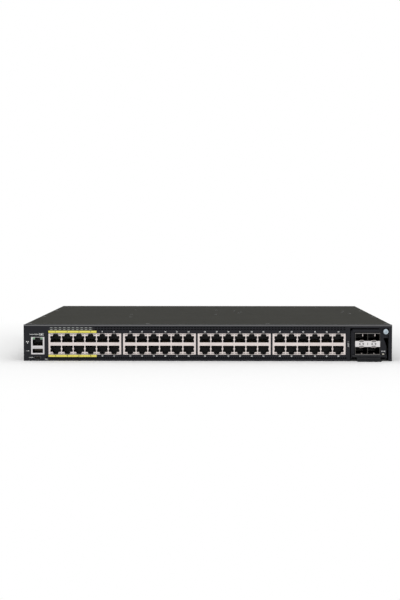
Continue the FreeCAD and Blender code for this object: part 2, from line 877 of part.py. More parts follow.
# Boards inside
def make_main_board():
    edge = d["board_edge"]
    left = -inner_half + edge
    board_front = inner_front + d["fit_gap"]
    split = psu_inner - d["backplane_gap"]
    step = connector_rear + d["fit_gap"]
    board_rear = unit_rear - d["fan_tray_length"] - 4 * edge
    narrow_right = bay_left - 2 * edge
    outline = [(left, board_front), (narrow_right, board_front), (narrow_right, step),
               (inner_half - edge, step), (inner_half - edge, board_rear),
               (dividers_right + edge, board_rear), (dividers_right + edge, split), (left, split)]
    board = Piece("main_board")
    board.pad("XY", board_low, board_top, [outline])
    posts = []
    reach = d["standoff_corner"] + edge
    for column in range(4):
        x = left + reach + column * (narrow_right - left - 2 * reach) / 3
        for y in (jack_face + d["jack_depth"] + reach, split - reach):
            post = doc.addObject("Part::Prism", "standoff")
            post.Polygon = 6
            bind(post, "Circumradius", d["standoff_corner"])
            bind(post, "Height", d["standoff_height"])
            place(post, x, y, floor)
            posts.append(post)
    keep(group("board_standoffs", posts), "board_standoffs")


def make_heat_sink(name, x, y, length, width_across):
    """Make a finned block that stands on a chip."""
    base = board_top + d["chip_thick"]
    sink = Piece(name)
    left = x - length / 2
    sink.pad("XY", base, base + d["sink_base"],
             [rect(left, y - width_across / 2, x + length / 2, y + width_across / 2)])
    fin = sink.pad("XY", base + d["sink_base"], lip_low - d["sink_head"],
                   [rect(left, y - width_across / 2, left + d["sink_fin"], y + width_across / 2)])
    sink.row(fin, (length - d["sink_fin"]) / (SINK_FINS - 1), SINK_FINS)
    pieces.remove(sink.body)
    return sink.body


def make_chips():
    chips = []
    sinks = []
    for sink, chip in (("main_sink", "main_chip"), ("small_sink", "small_chip")):
        x = d[f"{sink}_right"]
        y = jack_face + d["jack_depth"] + d[f"{sink}_back"]
        sinks.append(make_heat_sink(sink, x, y, d[f"{sink}_length"], d[f"{sink}_width"]))
        reach = d[chip] / 2
        chips.append(box("chip", (x - reach, y - reach, board_top),
                         (x + reach, y + reach, board_top + d["chip_thick"])))
    keep(group("switch_chips", chips), "switch_chips")
    keep(group("heat_sinks", sinks), "heat_sinks")


def make_bays():
    """Make the sheet dividers, the board that the power supplies plug into and the module's socket."""
    sheets = []
    for number in range(1, POWER_SUPPLIES + 1):
        right = -inner_half + number * divider_pitch
        sheets.append(box("divider", (right - d["wall"], psu_inner, floor), (right, inner_rear, lip_low)))
    right = bay_left - d["fit_gap"]
    sheets.append(box("divider", (right - d["wall"], inner_front, floor), (right, connector_rear, lip_low)))
    keep(group("bay_dividers", sheets), "bay_dividers")
    back = psu_inner - d["backplane_gap"]
    keep(box("power_backplane", (-inner_half + d["board_edge"], back - d["backplane_thick"], board_top),
             (dividers_right, back, lip_low - d["backplane_head"])), "power_backplane")
    reach = d["connector_width"] / 2
    near = connector_rear + d["fit_gap"]
    keep(box("module_socket", (cage_x - reach, near, board_top),
             (cage_x + reach, near + d["connector_depth"], board_top + d["connector_height"])),
         "module_socket")


# Plug-in module
face_left = bay_left + d["module_left_gap"]
face_right = bay_right - d["fit_gap"]
plate_right = face_right - d["module_notch"]
face_low = floor + d["fit_gap"]
face_high = bay_high - d["fit_gap"]
face_front = front + d["module_recess"]
face_back = face_front + d["module_face"]
carrier_top = face_low + d["wall"]
carrier_rear = face_back + d["carrier_depth"]
module_board_low = carrier_top + d["carrier_boss"]
module_board_top = module_board_low + d["module_board_thick"]
module_board_rear = carrier_rear - d["module_board_back"]
connector_rear = module_board_rear + d["connector_overhang"]
cage_left = bay_left + d["cage_inset"]
cage_x = cage_left + cage_width / 2
cage_face = front + d["cage_recess"]
cage_top = module_board_top + cage_height
screw_x = bay_right - d["module_screw_right"]
screw_z = bay_high - d["module_screw_drop"]
hinge_y = face_front - d["hinge_reach"]
hinge_z = d["hinge_level"]
lip_left = cage_left + d["handle_lip_start"]
lip_right = lip_left + d["handle_lip_width"]


def make_faceplate():
    """Make the plate with a foot behind the handle, an ear for the screw and a slot above its tab."""
    plate = Piece("module_faceplate")
    foot = face_low + d["module_foot_lift"]
    notch_top = d["module_notch_top"]
    ear_left = face_right - d["module_ear_width"]
    head = bay_high - d["module_head_gap"]
    corner_x = face_left + d["module_corner_width"]
    corner_z = head - d["module_corner_drop"]
    outline = [(face_left, foot), (lip_left, foot), (lip_left, face_low), (lip_right, face_low),
               (lip_right, foot), (plate_right, foot), (plate_right, d["module_notch_base"]),
               (plate_right - d["module_notch_slant"], notch_top), (face_right, notch_top),
               (face_right, face_high), (ear_left, face_high), (ear_left, head), (corner_x, head),
               (corner_x, corner_z), (face_left, corner_z)]
    gap = d["screw_gap"]
    window = rect(cage_left - gap, module_board_top - gap, cage_left + cage_width + gap, cage_top + gap)
    hole = (screw_x, screw_z, d["module_screw_shank"] + gap)
    plate.pad("XZ", face_front, face_back, [outline, window], [hole])
    tab_low = cage_top + d["tab_lift"]
    tab_left = cage_left - d["tab_start"]
    plate.pad("XZ", face_front - d["tab_proud"], face_front,
              [rect(tab_left, tab_low, tab_left + d["tab_width"], tab_low + d["tab_height"])])
    ear = rect(hinge_y - d["hinge_ear_half"], hinge_z - d["hinge_ear_half"], face_front,
               hinge_z + d["hinge_ear_half"])
    pin_hole = (hinge_y, hinge_z, d["hinge_pin"] + d["pin_gap"])
    plate.pad("YZ", face_left, face_left + d["hinge_ear_thick"], [ear], [pin_hole])
    plate.pad("YZ", plate_right - d["hinge_ear_thick"], plate_right, [ear], [pin_hole])


def make_carrier():
    """Make the folded carrier with the raised bosses that the module's board rests on."""
    carrier = Piece("module_carrier")
    flange_top = face_low + d["carrier_flange"]
    carrier.pad("XY", face_low, carrier_top, [rect(face_left, face_back, plate_right, carrier_rear)])
    flange = rect(face_back, face_low, carrier_rear, flange_top)
    carrier.pad("YZ", face_left, face_left + d["wall"], [flange])
    carrier.pad("YZ", plate_right - d["wall"], plate_right, [flange])
    inset = d["carrier_boss_inset"]
    bosses = []
    for x in (face_left + inset, plate_right - inset):
        for y in (face_back + inset, module_board_rear - inset):
            bosses.append(hexagon(x, y, d["carrier_boss_corner"]))
    carrier.pad("XY", carrier_top, module_board_low, bosses)
    edge = d["wall"] + d["module_board_edge"]
    keep(box("module_board", (face_left + edge, face_back + d["fit_gap"], module_board_low),
             (plate_right - edge, module_board_rear, module_board_top)), "module_board")
    reach = d["connector_width"] / 2
    keep(box("module_connector", (cage_x - reach, connector_rear - d["connector_depth"], module_board_top),
             (cage_x + reach, connector_rear, module_board_top + d["connector_height"])), "module_connector")


def make_cage():
    """Make the two by two cage for optical modules and the light pipes on its band."""
    cage = Piece("sfp_cage")
    back = cage_face + d["cage_depth"]
    wall = d["cage_wall"]
    cage.pad("XZ", cage_face, back, [rect(cage_left, module_board_top, cage_left + cage_width, cage_top)])
    bays = []
    lower = module_board_top + d["cage_rim"]
    upper = lower + d["cage_port_height"] + d["cage_band"]
    for column in range(2):
        left = cage_left + wall + column * (d["cage_port_width"] + wall)
        for low in (lower, upper):
            bays.append(rect(left, low, left + d["cage_port_width"], low + d["cage_port_height"]))
    cage.cut("XZ", cage_face, back - wall, bays)
    band_low = lower + d["cage_port_height"]
    cage.cut("XZ", cage_face + wall, back,
             [rect(cage_left + wall, band_low + wall, cage_left + cage_width - wall, upper - wall)])
    foot = d["cage_notch_width"] / 2
    crown = d["cage_notch_top"] / 2
    notches = []
    for column in (-0.5, 0.5):
        x = cage_x + column * (d["cage_port_width"] + wall)
        for edge, rise in ((band_low, d["cage_notch_rise"]), (upper, -d["cage_notch_rise"])):
            notches.append([(x - foot, edge), (x + foot, edge), (x + crown, edge + rise),
                            (x - crown, edge + rise)])
    cage.cut("XZ", cage_face, cage_face + wall, notches)
    level = (band_low + upper) / 2
    lights = []
    for column in (-0.5, 0.5):
        for way in (-1, 1):
            arrow = doc.addObject("Part::Prism", "arrow")
            arrow.Polygon = 3
            turn = FreeCAD.Rotation(V(1, 0, 0), -90)
            arrow.Placement = FreeCAD.Placement(V(), turn.multiply(FreeCAD.Rotation(V(0, 0, 1), 90 * way)))
            bind(arrow, "Circumradius", d["arrow_radius"])
            bind(arrow, "Height", d["arrow_proud"])
            x = cage_x + column * (d["cage_port_width"] + wall) + way * d["arrow_offset"]
            place(arrow, x, cage_face - d["arrow_proud"], level)
            lights.append(arrow)
    lamp_x = bay_right - d["module_lamp_right"]
    lamp_z = d["module_lamp_level"]
    reach = d["module_lamp_width"] / 2
    rise = d["module_lamp_height"] / 2
    lights.append(box("module_lamp", (lamp_x - reach, face_front - d["arrow_proud"], lamp_z - rise),
                      (lamp_x + reach, face_front, lamp_z + rise)))
    keep(group("sfp_light_pipes", lights), "sfp_light_pipes")


def make_module_screw():
    """Make the captive screw and the threaded block on the side wall that it goes into."""
    seat = face_front - d["screw_gap"]
    head = rod("module_screw_head", screw_x, seat - d["module_screw_head_length"], screw_z,
               d["module_screw_head"], d["module_screw_head_length"], "Y")
    shank = rod("module_screw_shank", screw_x, seat, screw_z, d["module_screw_shank"],
                d["module_screw_length"], "Y")
    keep(fuse("module_screw", [head, shank]), "module_screw")
    anchor = Piece("module_screw_anchor")
    near = face_back + d["anchor_setback"]
    reach = d["anchor_size"] / 2
    anchor.pad("XZ", near, near + d["anchor_size"],
               [rect(screw_x - reach, screw_z - reach, inner_half, screw_z + reach),
                nut_seat(screw_x, screw_z, d["module_screw_shank"] + d["screw_gap"])])


def make_handle():
    """Make the ejector handle, a plate with a lip that hangs from a pin between two ears."""
    inset = d["hinge_ear_thick"] + d["fit_gap"]
    left = face_left + inset
    right = plate_right - inset
    bore = d["hinge_pin"] + d["pin_gap"]
    handle = Piece("ejector_handle")
    handle.pad("YZ", left, right, circles=[(hinge_y, hinge_z, d["hinge_knuckle"]), (hinge_y, hinge_z, bore)])
    base = d["handle_base"]
    lip_top = base + d["handle_lip_thick"]
    near = hinge_y - d["handle_plate"] / 2
    far = hinge_y + d["handle_plate"] / 2
    root = hinge_z - (bore + d["hinge_knuckle"]) / 2
    tip = hinge_y - d["handle_reach"]
    handle.pad("YZ", lip_left, lip_right, [[(tip, base), (far, base), (far, root), (near, root),
                                            (near, lip_top), (tip, lip_top)]])

    def lip_edge(edge):
        middle = edge.BoundBox.Center
        return abs(middle.y - tip.value) < 0.01 and edge.BoundBox.XLength > 1

    handle.round_edges(d["handle_round"], lip_edge)
    keep(rod("ejector_pin", face_left, hinge_y, hinge_z, d["hinge_pin"], plate_right - face_left, "X"),
         "ejector_pin")


# Rear units
def grille_slots(x, z, radius):
    """Give upright slots that fill a circle, with bars between them."""
    pitch = 2 * (radius - d["grille_bar"]) / GRILLE_SLOTS
    reach = (pitch - d["grille_bar"]) / 2
    slots = []
    for number in range(GRILLE_SLOTS):
        middle = x + (number - (GRILLE_SLOTS - 1) / 2) * pitch
        outer = abs(number - (GRILLE_SLOTS - 1) / 2) * pitch + reach
        rise = chord_half(radius, outer)
        slots.append(rect(middle - reach, z - rise, middle + reach, z + rise))
    return slots


def add_motor(unit, x, z):
    """Add the motor's boss behind a grille, and the shaft that carries the fan."""
    back = -d["unit_face"]
    unit.pad("XZ", back - d["motor_depth"], back, circles=[(x, z, d["hub_radius"])])
    start = back - d["motor_depth"] - d["motor_gap"] - d["hub_depth"]
    unit.pad("XZ", start, back - d["motor_depth"], circles=[(x, z, d["shaft_radius"])])


def make_impeller(name, x, z, radius):
    """Make a bladed fan about the Y axis and set it on its shaft."""
    fan = Piece(name)
    reach = d["hub_depth"] / 2
    bore = d["shaft_radius"] + d["pin_gap"]
    fan.pad("XZ", -reach, reach, circles=[(0, 0, d["hub_radius"]), (0, 0, bore)])
    thick = d["blade_thick"] / 2
    skew = d["blade_skew"]
    chord = d["blade_chord"] / 2
    blade = fan.pad("XY", (bore + d["hub_radius"]) / 2, radius - d["blade_gap"],
                    [[(-skew - thick, -chord), (-skew + thick, -chord), (skew + thick, chord),
                      (skew - thick, chord)]])
    fan.ring(blade, FAN_BLADES)
    middle = unit_rear - d["unit_face"] - d["motor_depth"] - d["motor_gap"] - reach
    place(fan.body, x, middle, unit_base + z)


def make_psu_case(name, fan_x_local, inlet_x, fan_z):
    case = Piece(name)
    side = d["psu_width"] / 2
    wall = d["wall"]
    outer = rect(-side, 0, side, unit_height)
    inner = rect(-side + wall, wall, side - wall, unit_height - wall)
    case.pad("XZ", -d["psu_length"], 0, [outer, inner])
    case.pad("XZ", -d["psu_length"], -d["psu_length"] + wall, [outer])
    gap = d["screw_gap"]
    window = rect(inlet_x - d["inlet_width"] / 2 - gap, fan_z - d["inlet_height"] / 2 - gap,
                  inlet_x + d["inlet_width"] / 2 + gap, fan_z + d["inlet_height"] / 2 + gap)
    slot_right = -side + wall + 2 * d["fit_gap"] + d["latch_tab_thick"] + d["latch_travel"]
    latch_slot = rect(-side + wall, fan_z - d["latch_foot_height"] / 2 - d["fit_gap"], slot_right,
                      fan_z + d["latch_foot_height"] / 2 + d["fit_gap"])
    case.pad("XZ", -d["unit_face"], 0,
             [outer, window, latch_slot] + grille_slots(fan_x_local, fan_z, d["psu_fan_radius"]))
    add_motor(case, fan_x_local, fan_z)
    return case


def make_inlet(name):
    """Make the mains inlet, a block with a keyed cavity."""
    inlet = Piece(name)
    side = d["inlet_width"] / 2
    top = d["inlet_height"] / 2
    wall = d["inlet_wall"]
    corner = d["inlet_corner"]
    inlet.pad("XZ", -d["inlet_depth"] - d["inlet_back"], d["inlet_proud"], [rect(-side, -top, side, top)])
    cavity = [(-side + wall, -top + wall), (side - wall, -top + wall), (side - wall, top - wall - corner),
              (side - wall - corner, top - wall), (-side + wall + corner, top - wall),
              (-side + wall, top - wall - corner)]
    inlet.cut("XZ", -d["inlet_depth"], d["inlet_proud"], [cavity])
    return inlet


def make_prongs(name, x, z):
    """Make the inlet's three prongs."""
    prongs = []
    for column in (-1, 0, 1):
        middle = x + column * d["prong_pitch"]
        level = z + (d["prong_offset"] if column == 0 else -d["prong_offset"])
        start = unit_rear - d["inlet_depth"]
        prongs.append(box("prong", (middle - d["prong_width"] / 2, start, level - d["prong_height"] / 2),
                          (middle + d["prong_width"] / 2, start + d["prong_length"],
                           level + d["prong_height"] / 2)))
    keep(group(name, prongs), name)


def make_grip(name):
    """Make the bent pull handle."""
    grip = Piece(name)
    low = d["grip_margin"]
    high = unit_height - d["grip_margin"]
    reach = d["grip_reach"]
    bar = d["grip_bar"]
    grip.pad("YZ", 0, d["grip_width"],
             [[(0, low), (reach, low), (reach, high), (0, high), (0, high - bar), (reach - bar, high - bar),
               (reach - bar, low + bar), (0, low + bar)]])

    def outer_corner(edge):
        middle = edge.BoundBox.Center
        at_end = abs(middle.z - low.value) < 0.01 or abs(middle.z - high.value) < 0.01
        return at_end and abs(middle.y - reach.value) < 0.01

    grip.round_edges(d["grip_round"], outer_corner)
    return grip


def make_latch(name):
    """Make the release tab with the foot that reaches through its slot."""
    latch = Piece(name)
    foot = d["latch_foot_height"] / 2
    tab = d["latch_tab_height"] / 2
    gap = d["fit_gap"]
    tip = d["latch_tab_reach"]
    corner = d["latch_tab_corner"]
    latch.pad("YZ", 0, d["latch_tab_thick"],
              [[(-d["latch_foot_depth"], -foot), (gap, -foot), (gap, -tab), (tip - corner, -tab),
                (tip, -tab + corner), (tip, tab - corner), (tip - corner, tab), (gap, tab), (gap, foot),
                (-d["latch_foot_depth"], foot)]])
    return latch


def make_power_supplies():
    side = d["psu_width"] / 2
    fan_x_local = -side + d["psu_fan_inset"]
    inlet_x = side - d["inlet_inset"]
    middle = unit_height / 2
    for number in range(POWER_SUPPLIES):
        name = f"psu_{number + 1}"
        x = psu_x(number)
        case = make_psu_case(f"{name}_case", fan_x_local, inlet_x, middle)
        place(case.body, x, unit_rear, unit_base)
        inlet = make_inlet(f"{name}_inlet")
        place(inlet.body, x + inlet_x, unit_rear, unit_base + middle)
        make_prongs(f"{name}_inlet_pins", x + inlet_x, unit_base + middle)
        grip = make_grip(f"{name}_handle")
        place(grip.body, x + side - d["grip_inset"], unit_rear, unit_base)
        latch = make_latch(f"{name}_latch")
        place(latch.body, x - side + d["wall"] + d["fit_gap"], unit_rear, unit_base + middle)
        make_impeller(f"{name}_impeller", x + fan_x_local, middle, d["psu_fan_radius"])


def make_fan_trays():
    side = d["fan_tray_width"] / 2
    middle = unit_height / 2
    outer = rect(-side, 0, side, unit_height)
    face = d["unit_face"]
    ear_high = side + d["fan_ear_width"]
    ear_low_y = d["fit_gap"] - d["unit_proud"]
    hole = d["thumb_shank"] + d["screw_gap"]
    for number in range(FAN_TRAYS):
        name = f"fan_{number + 1}"
        frame = Piece(f"{name}_frame")
        frame.pad("XZ", -d["fan_tray_length"], -face, [outer], [(0, middle, fan_radius)])
        frame.pad("XZ", -face, 0, [outer] + grille_slots(as_size(0), middle, fan_radius))
        add_motor(frame, as_size(0), middle)
        frame.pad("XZ", ear_low_y, 0,
                  [rect(side, middle - d["fan_ear_height"] / 2, ear_high, middle + d["fan_ear_height"] / 2)],
                  [(thumb_x, thumb_z, hole)])
        place(frame.body, fan_x(number), unit_rear, unit_base)
        make_impeller(f"{name}_impeller", fan_x(number), middle, fan_radius)
        seat = unit_rear + d["screw_gap"]
        x = fan_x(number) + thumb_x
        z = unit_base + thumb_z
        head = rod("thumb_head", x, seat, z, d["thumb_head"], d["thumb_head_length"], "Y")
        shank = rod("thumb_shank", x, seat - d["thumb_length"], z, d["thumb_shank"], d["thumb_length"], "Y")
        keep(fuse(f"{name}_screw", [head, shank]), f"{name}_screw")


def check_document():
    """Stop if an object failed, a cut removed nothing or a piece has no valid solid."""
    for item in doc.Objects:
        if "Invalid" in item.State or "Error" in item.State:
            raise RuntimeError(f"{item.Label} failed: {item.State}")
        if item.TypeId == "PartDesign::Pocket":
            removed = item.BaseFeature.Shape.Volume - item.Shape.Volume
            if removed <= 0:
                raise RuntimeError(f"{item.Label} cuts nothing")
    for piece in pieces:
        if piece.Shape.isNull() or not piece.Shape.isValid() or not piece.Shape.Solids:
            raise RuntimeError(f"{piece.Label} has no valid solid")


def export_pieces():
    os.makedirs("parts", exist_ok=True)
    for piece in pieces:
        piece.Shape.exportStep(f"parts/{piece.Label}.step")


make_tray()
make_bezel()
make_cover()
make_vents()
make_status_bar()
make_jacks()
make_management()
make_console()
make_reset()
make_main_board()
make_chips()
make_bays()
make_faceplate()
make_carrier()
make_cage()
make_module_screw()
make_handle()
make_power_supplies()
make_fan_trays()
doc.recompute()
check_document()
export_pieces()
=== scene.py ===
"""Looks of a one-unit rack ethernet switch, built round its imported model.
Metres, +X right, +Y to the rear, +Z up, origin at the middle of the underside.
Lists of places and paths are in millimetres."""
import json
import math

import bmesh
import bpy
from mathutils import Matrix, Vector


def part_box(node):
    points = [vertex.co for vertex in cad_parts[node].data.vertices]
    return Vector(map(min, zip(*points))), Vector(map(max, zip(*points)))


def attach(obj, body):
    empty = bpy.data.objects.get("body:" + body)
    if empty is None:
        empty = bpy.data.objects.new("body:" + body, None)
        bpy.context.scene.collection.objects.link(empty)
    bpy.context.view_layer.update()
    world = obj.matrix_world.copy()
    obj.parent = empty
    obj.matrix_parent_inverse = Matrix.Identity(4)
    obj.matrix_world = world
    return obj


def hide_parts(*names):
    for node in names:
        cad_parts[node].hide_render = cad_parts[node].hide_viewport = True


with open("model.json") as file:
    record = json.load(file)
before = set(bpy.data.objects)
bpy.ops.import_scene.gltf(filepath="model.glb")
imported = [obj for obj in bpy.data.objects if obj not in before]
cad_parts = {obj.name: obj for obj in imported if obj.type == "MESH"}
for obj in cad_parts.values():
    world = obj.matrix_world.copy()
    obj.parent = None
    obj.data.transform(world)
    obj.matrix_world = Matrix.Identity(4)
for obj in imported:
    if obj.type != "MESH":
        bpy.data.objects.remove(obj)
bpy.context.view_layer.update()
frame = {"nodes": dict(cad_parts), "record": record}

MM = 0.001

# Jack blocks, repeated from the part's own sizes
JACK_BLOCKS = 4
PORT_COLUMNS = 6
PORT_PITCH = 13.97 * MM
PORT_WIDTH = 12.2 * MM
PORT_HEIGHT = 7.65 * MM
LATCH_WIDTH = 6.8 * MM
LATCH_HEIGHT = 2.25 * MM
PORT_BAND = 3.9 * MM
MANAGEMENT_JACK_BASE = 10.5 * MM
CONTACTS = 8
CONTACT_PITCH = 1.016 * MM
POE_COLUMNS = 4

# Numbers of the power supplies and of the fan trays
UNITS = (1, 2)

# The photograph's frame and the camera that fits it
IMAGE_HEIGHT = 600
FOCAL_PIXELS = 1218
SENSOR = 36.0
CLIP_NEAR = 0.05
CLIP_FAR = 100.0
CAMERA_PLACE = Vector((7.7, -1640.0, 150.6)) * MM
CAMERA_TARGET = Vector((-9.0, -190.0, 73.0)) * MM


# Materials
PATTERN_LOW = 0.3
PATTERN_HIGH = 0.7
ROLLED_SHARE = 0.03
COLOR_SEAM = 0.1 * MM
LENS_SEAM = 0.01 * MM
CAGE_SHADE = (0.7 * MM, 1.4 * MM)


class Finish:
    """A procedural finish: one Principled shader with patterns for colour, roughness and bump."""

    def __init__(self, name, color, roughness, metallic=0.0, specular=0.5):
        self.name = name
        self.material = bpy.data.materials.new(name)
        self.material.use_nodes = True
        self.tree = self.material.node_tree
        self.shader = self.tree.nodes["Principled BSDF"]
        self.color = color
        self.set("Base Color", (*color, 1.0))
        self.set("Roughness", roughness)
        self.set("Metallic", metallic)
        self.set("Specular IOR Level", specular)
        self.coords = self.node("ShaderNodeTexCoord").outputs["Object"]

    def set(self, socket, value):
        self.shader.inputs[socket].default_value = value

    def node(self, kind, **inputs):
        """Add a node and set its named inputs."""
        node = self.tree.nodes.new(kind)
        for socket, value in inputs.items():
            node.inputs[socket].default_value = value
        return node

    def link(self, output, target):
        self.tree.links.new(output, target)

    def axes(self):
        """Give the place along X, Y and Z as separate values."""
        split = self.node("ShaderNodeSeparateXYZ")
        self.link(self.coords, split.inputs["Vector"])
        return split.outputs

    def compute(self, operation, *values):
        """Give the result of an operation on values that are sockets or plain numbers."""
        node = self.node("ShaderNodeMath")
        node.operation = operation
        for value, target in zip(values, node.inputs):
            if isinstance(value, bpy.types.NodeSocket):
                self.link(value, target)
            else:
                target.default_value = value
        return node.outputs["Value"]

    def spread(self, value, start, end, low=0.0, high=1.0):
        """Map a value that goes from start to end onto the way from low to high."""
        ends = {"From Min": start, "From Max": end, "To Min": low, "To Max": high}
        node = self.node("ShaderNodeMapRange", **ends)
        self.link(value, node.inputs["Value"])
        return node.outputs["Result"]

    def noise(self, grain, detail=2.0, stretch=(1.0, 1.0, 1.0)):
        """Give a noise pattern whose grain is about this many metres."""
        mapping = self.node("ShaderNodeMapping", Scale=stretch)
        self.link(self.coords, mapping.inputs["Vector"])
        noise = self.node("ShaderNodeTexNoise", Scale=1.0 / grain, Detail=detail)
        self.link(mapping.outputs["Vector"], noise.inputs["Vector"])
        return noise.outputs["Fac"]

    def cells(self, grain):
        """Give a pattern of flat cells about this many metres across."""
        cells = self.node("ShaderNodeTexVoronoi", Scale=1.0 / grain)
        self.link(self.coords, cells.inputs["Vector"])
        split = self.node("ShaderNodeSeparateColor")
        self.link(cells.outputs["Color"], split.inputs["Color"])
        return split.outputs["Red"]

    def weave(self, pitch):
        """Give a fine square weave of this pitch in the XZ plane."""
        places = self.axes()
        turn = 2 * math.pi / pitch
        waves = [self.compute("SINE", self.compute("MULTIPLY", places[axis], turn)) for axis in "XZ"]
        return self.compute("MULTIPLY", *waves)

    def mottle(self, pattern, share, low=PATTERN_LOW, high=PATTERN_HIGH):
        """Let the colour vary by this share either way along a pattern."""
        ramp = self.node("ShaderNodeValToRGB")
        for element, place, factor in zip(ramp.color_ramp.elements, (low, high), (1 - share, 1 + share)):
            element.position = place
            element.color = (*(part * factor for part in self.color), 1.0)
        self.link(pattern, ramp.inputs["Fac"])
        self.link(ramp.outputs["Color"], self.shader.inputs["Base Color"])

    def vary_roughness(self, pattern, middle, swing):
        """Let the roughness vary by this much either way along a pattern."""
        roughness = self.spread(pattern, PATTERN_LOW, PATTERN_HIGH, middle - swing, middle + swing)
        self.link(roughness, self.shader.inputs["Roughness"])

    def bump(self, pattern, depth, strength=1.0):
        """Raise the surface by up to this many metres along a pattern."""
        bump = self.node("ShaderNodeBump", Strength=strength, Distance=depth)
        self.link(pattern, bump.inputs["Height"])
        self.link(bump.outputs["Normal"], self.shader.inputs["Normal"])

    def fade(self, value, start, end, before, after):
        """Go from one colour to another while a value goes from start to end."""
        mix = self.node("ShaderNodeMix")
        mix.data_type = "RGBA"
        self.link(self.spread(value, start, end), mix.inputs["Factor"])
        for color, target in ((before, mix.inputs["A"]), (after, mix.inputs["B"])):
            if isinstance(color, tuple):
                target.default_value = (*color, 1.0)
            else:
                self.link(color, target)
        return mix.outputs["Result"]


def paint(name, color, roughness, specular):
    """Baked powder paint: a fine orange-peel texture with faint cloudy shading."""
    finish = Finish(name, color, roughness, specular=specular)
    finish.mottle(finish.noise(35 * MM, detail=4.0), 0.05)
    grain = finish.noise(0.7 * MM)
    finish.vary_roughness(grain, roughness, 0.05)
    finish.bump(grain, 0.03 * MM, strength=0.35)
    return finish


def painted_highlight_line(finish, level, width, color):
    """Paint a paler, uneven line along an edge as a painted highlight, with full paint over and under it."""
    ragged = finish.compute("MULTIPLY_ADD", finish.noise(6 * MM, detail=4.0), width / 3, finish.axes()["Z"])
    painted = finish.shader.inputs["Base Color"].links[0].from_socket
    blur = width / 6
    # Painted highlight: the paint turns paler across this band
    highlighted = finish.fade(ragged, level, level + blur, painted, color)
    highlighted = finish.fade(ragged, level + width, level + width + blur, highlighted, painted)
    finish.link(highlighted, finish.shader.inputs["Base Color"])


def roll(finish, roughness, direction):
    """Give sheet metal a faint rolling grain along one axis."""
    stretch = [ROLLED_SHARE if axis == direction else 1.0 for axis in "XYZ"]
    grain = finish.noise(0.4 * MM, detail=3.0, stretch=stretch)
    finish.vary_roughness(grain, roughness, 0.07)
    finish.bump(grain, 0.01 * MM, strength=0.25)


def sheet_metal(name, color, roughness, direction):
    """Plated sheet, a little cloudy, with its rolling grain along one axis."""
    finish = Finish(name, color, roughness, metallic=1.0)
    finish.mottle(finish.noise(9 * MM, detail=3.0), 0.06)
    roll(finish, roughness, direction)
    return finish


def cage_sheet(name, band_color, side_color, rim_color, inner_shade_color, roughness):
    """Plated sheet that is bright on the band, dull at its rims and sides, and dark inside the bays by
    painted shade.
    """
    finish = Finish(name, rim_color, roughness, metallic=1.0)
    places = finish.axes()
    distance = finish.compute("ABSOLUTE", finish.compute("SUBTRACT", places["Z"], CAGE_MIDDLE.z))
    edge = CAGE_BAND / 2
    front = finish.fade(distance, edge, edge + COLOR_SEAM, band_color, side_color)
    edge = CAGE_HIGH.z - CAGE_MIDDLE.z - CAGE_RIM
    front = finish.fade(distance, edge - COLOR_SEAM, edge, front, rim_color)
    # Painted shade: past this depth the sheet darkens to the inner colour inside the bays
    start, end = (CAGE_LOW.y + depth for depth in CAGE_SHADE)
    inside = finish.fade(places["Y"], start, end, front, inner_shade_color)
    finish.link(inside, finish.shader.inputs["Base Color"])
    roll(finish, roughness, "X")
    return finish


def galvanised(name, color, roughness):
    """Zinc coating with its spangle of crystals."""
    finish = Finish(name, color, roughness, metallic=1.0)
    spangle = finish.cells(3.2 * MM)
    finish.mottle(spangle, 0.08, low=0.0, high=1.0)
    finish.vary_roughness(spangle, roughness, 0.06)
    finish.bump(finish.noise(0.5 * MM), 0.01 * MM, strength=0.2)
    return finish


def plastic(name, color, roughness, specular=0.4):
    """Moulded plastic with a fine spark-eroded texture."""
    finish = Finish(name, color, roughness, specular=specular)
    grain = finish.noise(0.25 * MM)
    finish.mottle(finish.noise(6 * MM), 0.08)
    finish.vary_roughness(grain, roughness, 0.06)
    finish.bump(grain, 0.015 * MM, strength=0.3)
    return finish


def laminate(name, color):
    """Circuit board under solder mask, with its tracks showing faintly."""
    finish = Finish(name, color, 0.35)
    sizes = {"Brick Width": 7 * MM, "Row Height": 0.9 * MM, "Mortar Size": 0.2 * MM}
    tracks = finish.node("ShaderNodeTexBrick", Scale=1.0, **sizes)
    for socket, share in (("Color1", 1.0), ("Color2", 1.25), ("Mortar", 1.7)):
        tracks.inputs[socket].default_value = (*(part * share for part in color), 1.0)
    finish.link(finish.coords, tracks.inputs["Vector"])
    finish.link(tracks.outputs["Color"], finish.shader.inputs["Base Color"])
    finish.bump(tracks.outputs["Fac"], 0.02 * MM, strength=0.4)
    return finish


def printed(name, color):
    """Screen-printed ink, a little uneven."""
    finish = Finish(name, color, 0.5, specular=0.3)
    finish.mottle(finish.noise(1.5 * MM, detail=3.0), 0.04)
    finish.bump(finish.noise(0.3 * MM), 0.01 * MM, strength=0.2)
    return finish


def lamp(name, color, glow):
    """Diffusing lens with a faint glow of its own."""
    finish = Finish(name, color, 0.25)
    finish.mottle(finish.noise(0.8 * MM), 0.1)
    finish.set("Emission Color", (*color, 1.0))
    finish.set("Emission Strength", glow)
    return finish


def light_pipes(name, axis, limit, before, after):
    """Moulded light pipes whose lenses differ in colour on the two sides of a place."""
    finish = Finish(name, before, 0.3)
    lenses = finish.fade(finish.axes()[axis], limit - LENS_SEAM, limit + LENS_SEAM, before, after)
    finish.link(lenses, finish.shader.inputs["Base Color"])
    finish.bump(finish.noise(0.4 * MM), 0.01 * MM, strength=0.2)
    return finish


def gauze(name, color):
    """Black woven screen cloth."""
    finish = Finish(name, color, 0.8, specular=0.05)
    weave = finish.weave(0.6 * MM)
    finish.mottle(weave, 0.5, low=0.0, high=1.0)
    finish.bump(weave, 0.1 * MM, strength=0.6)
    return finish


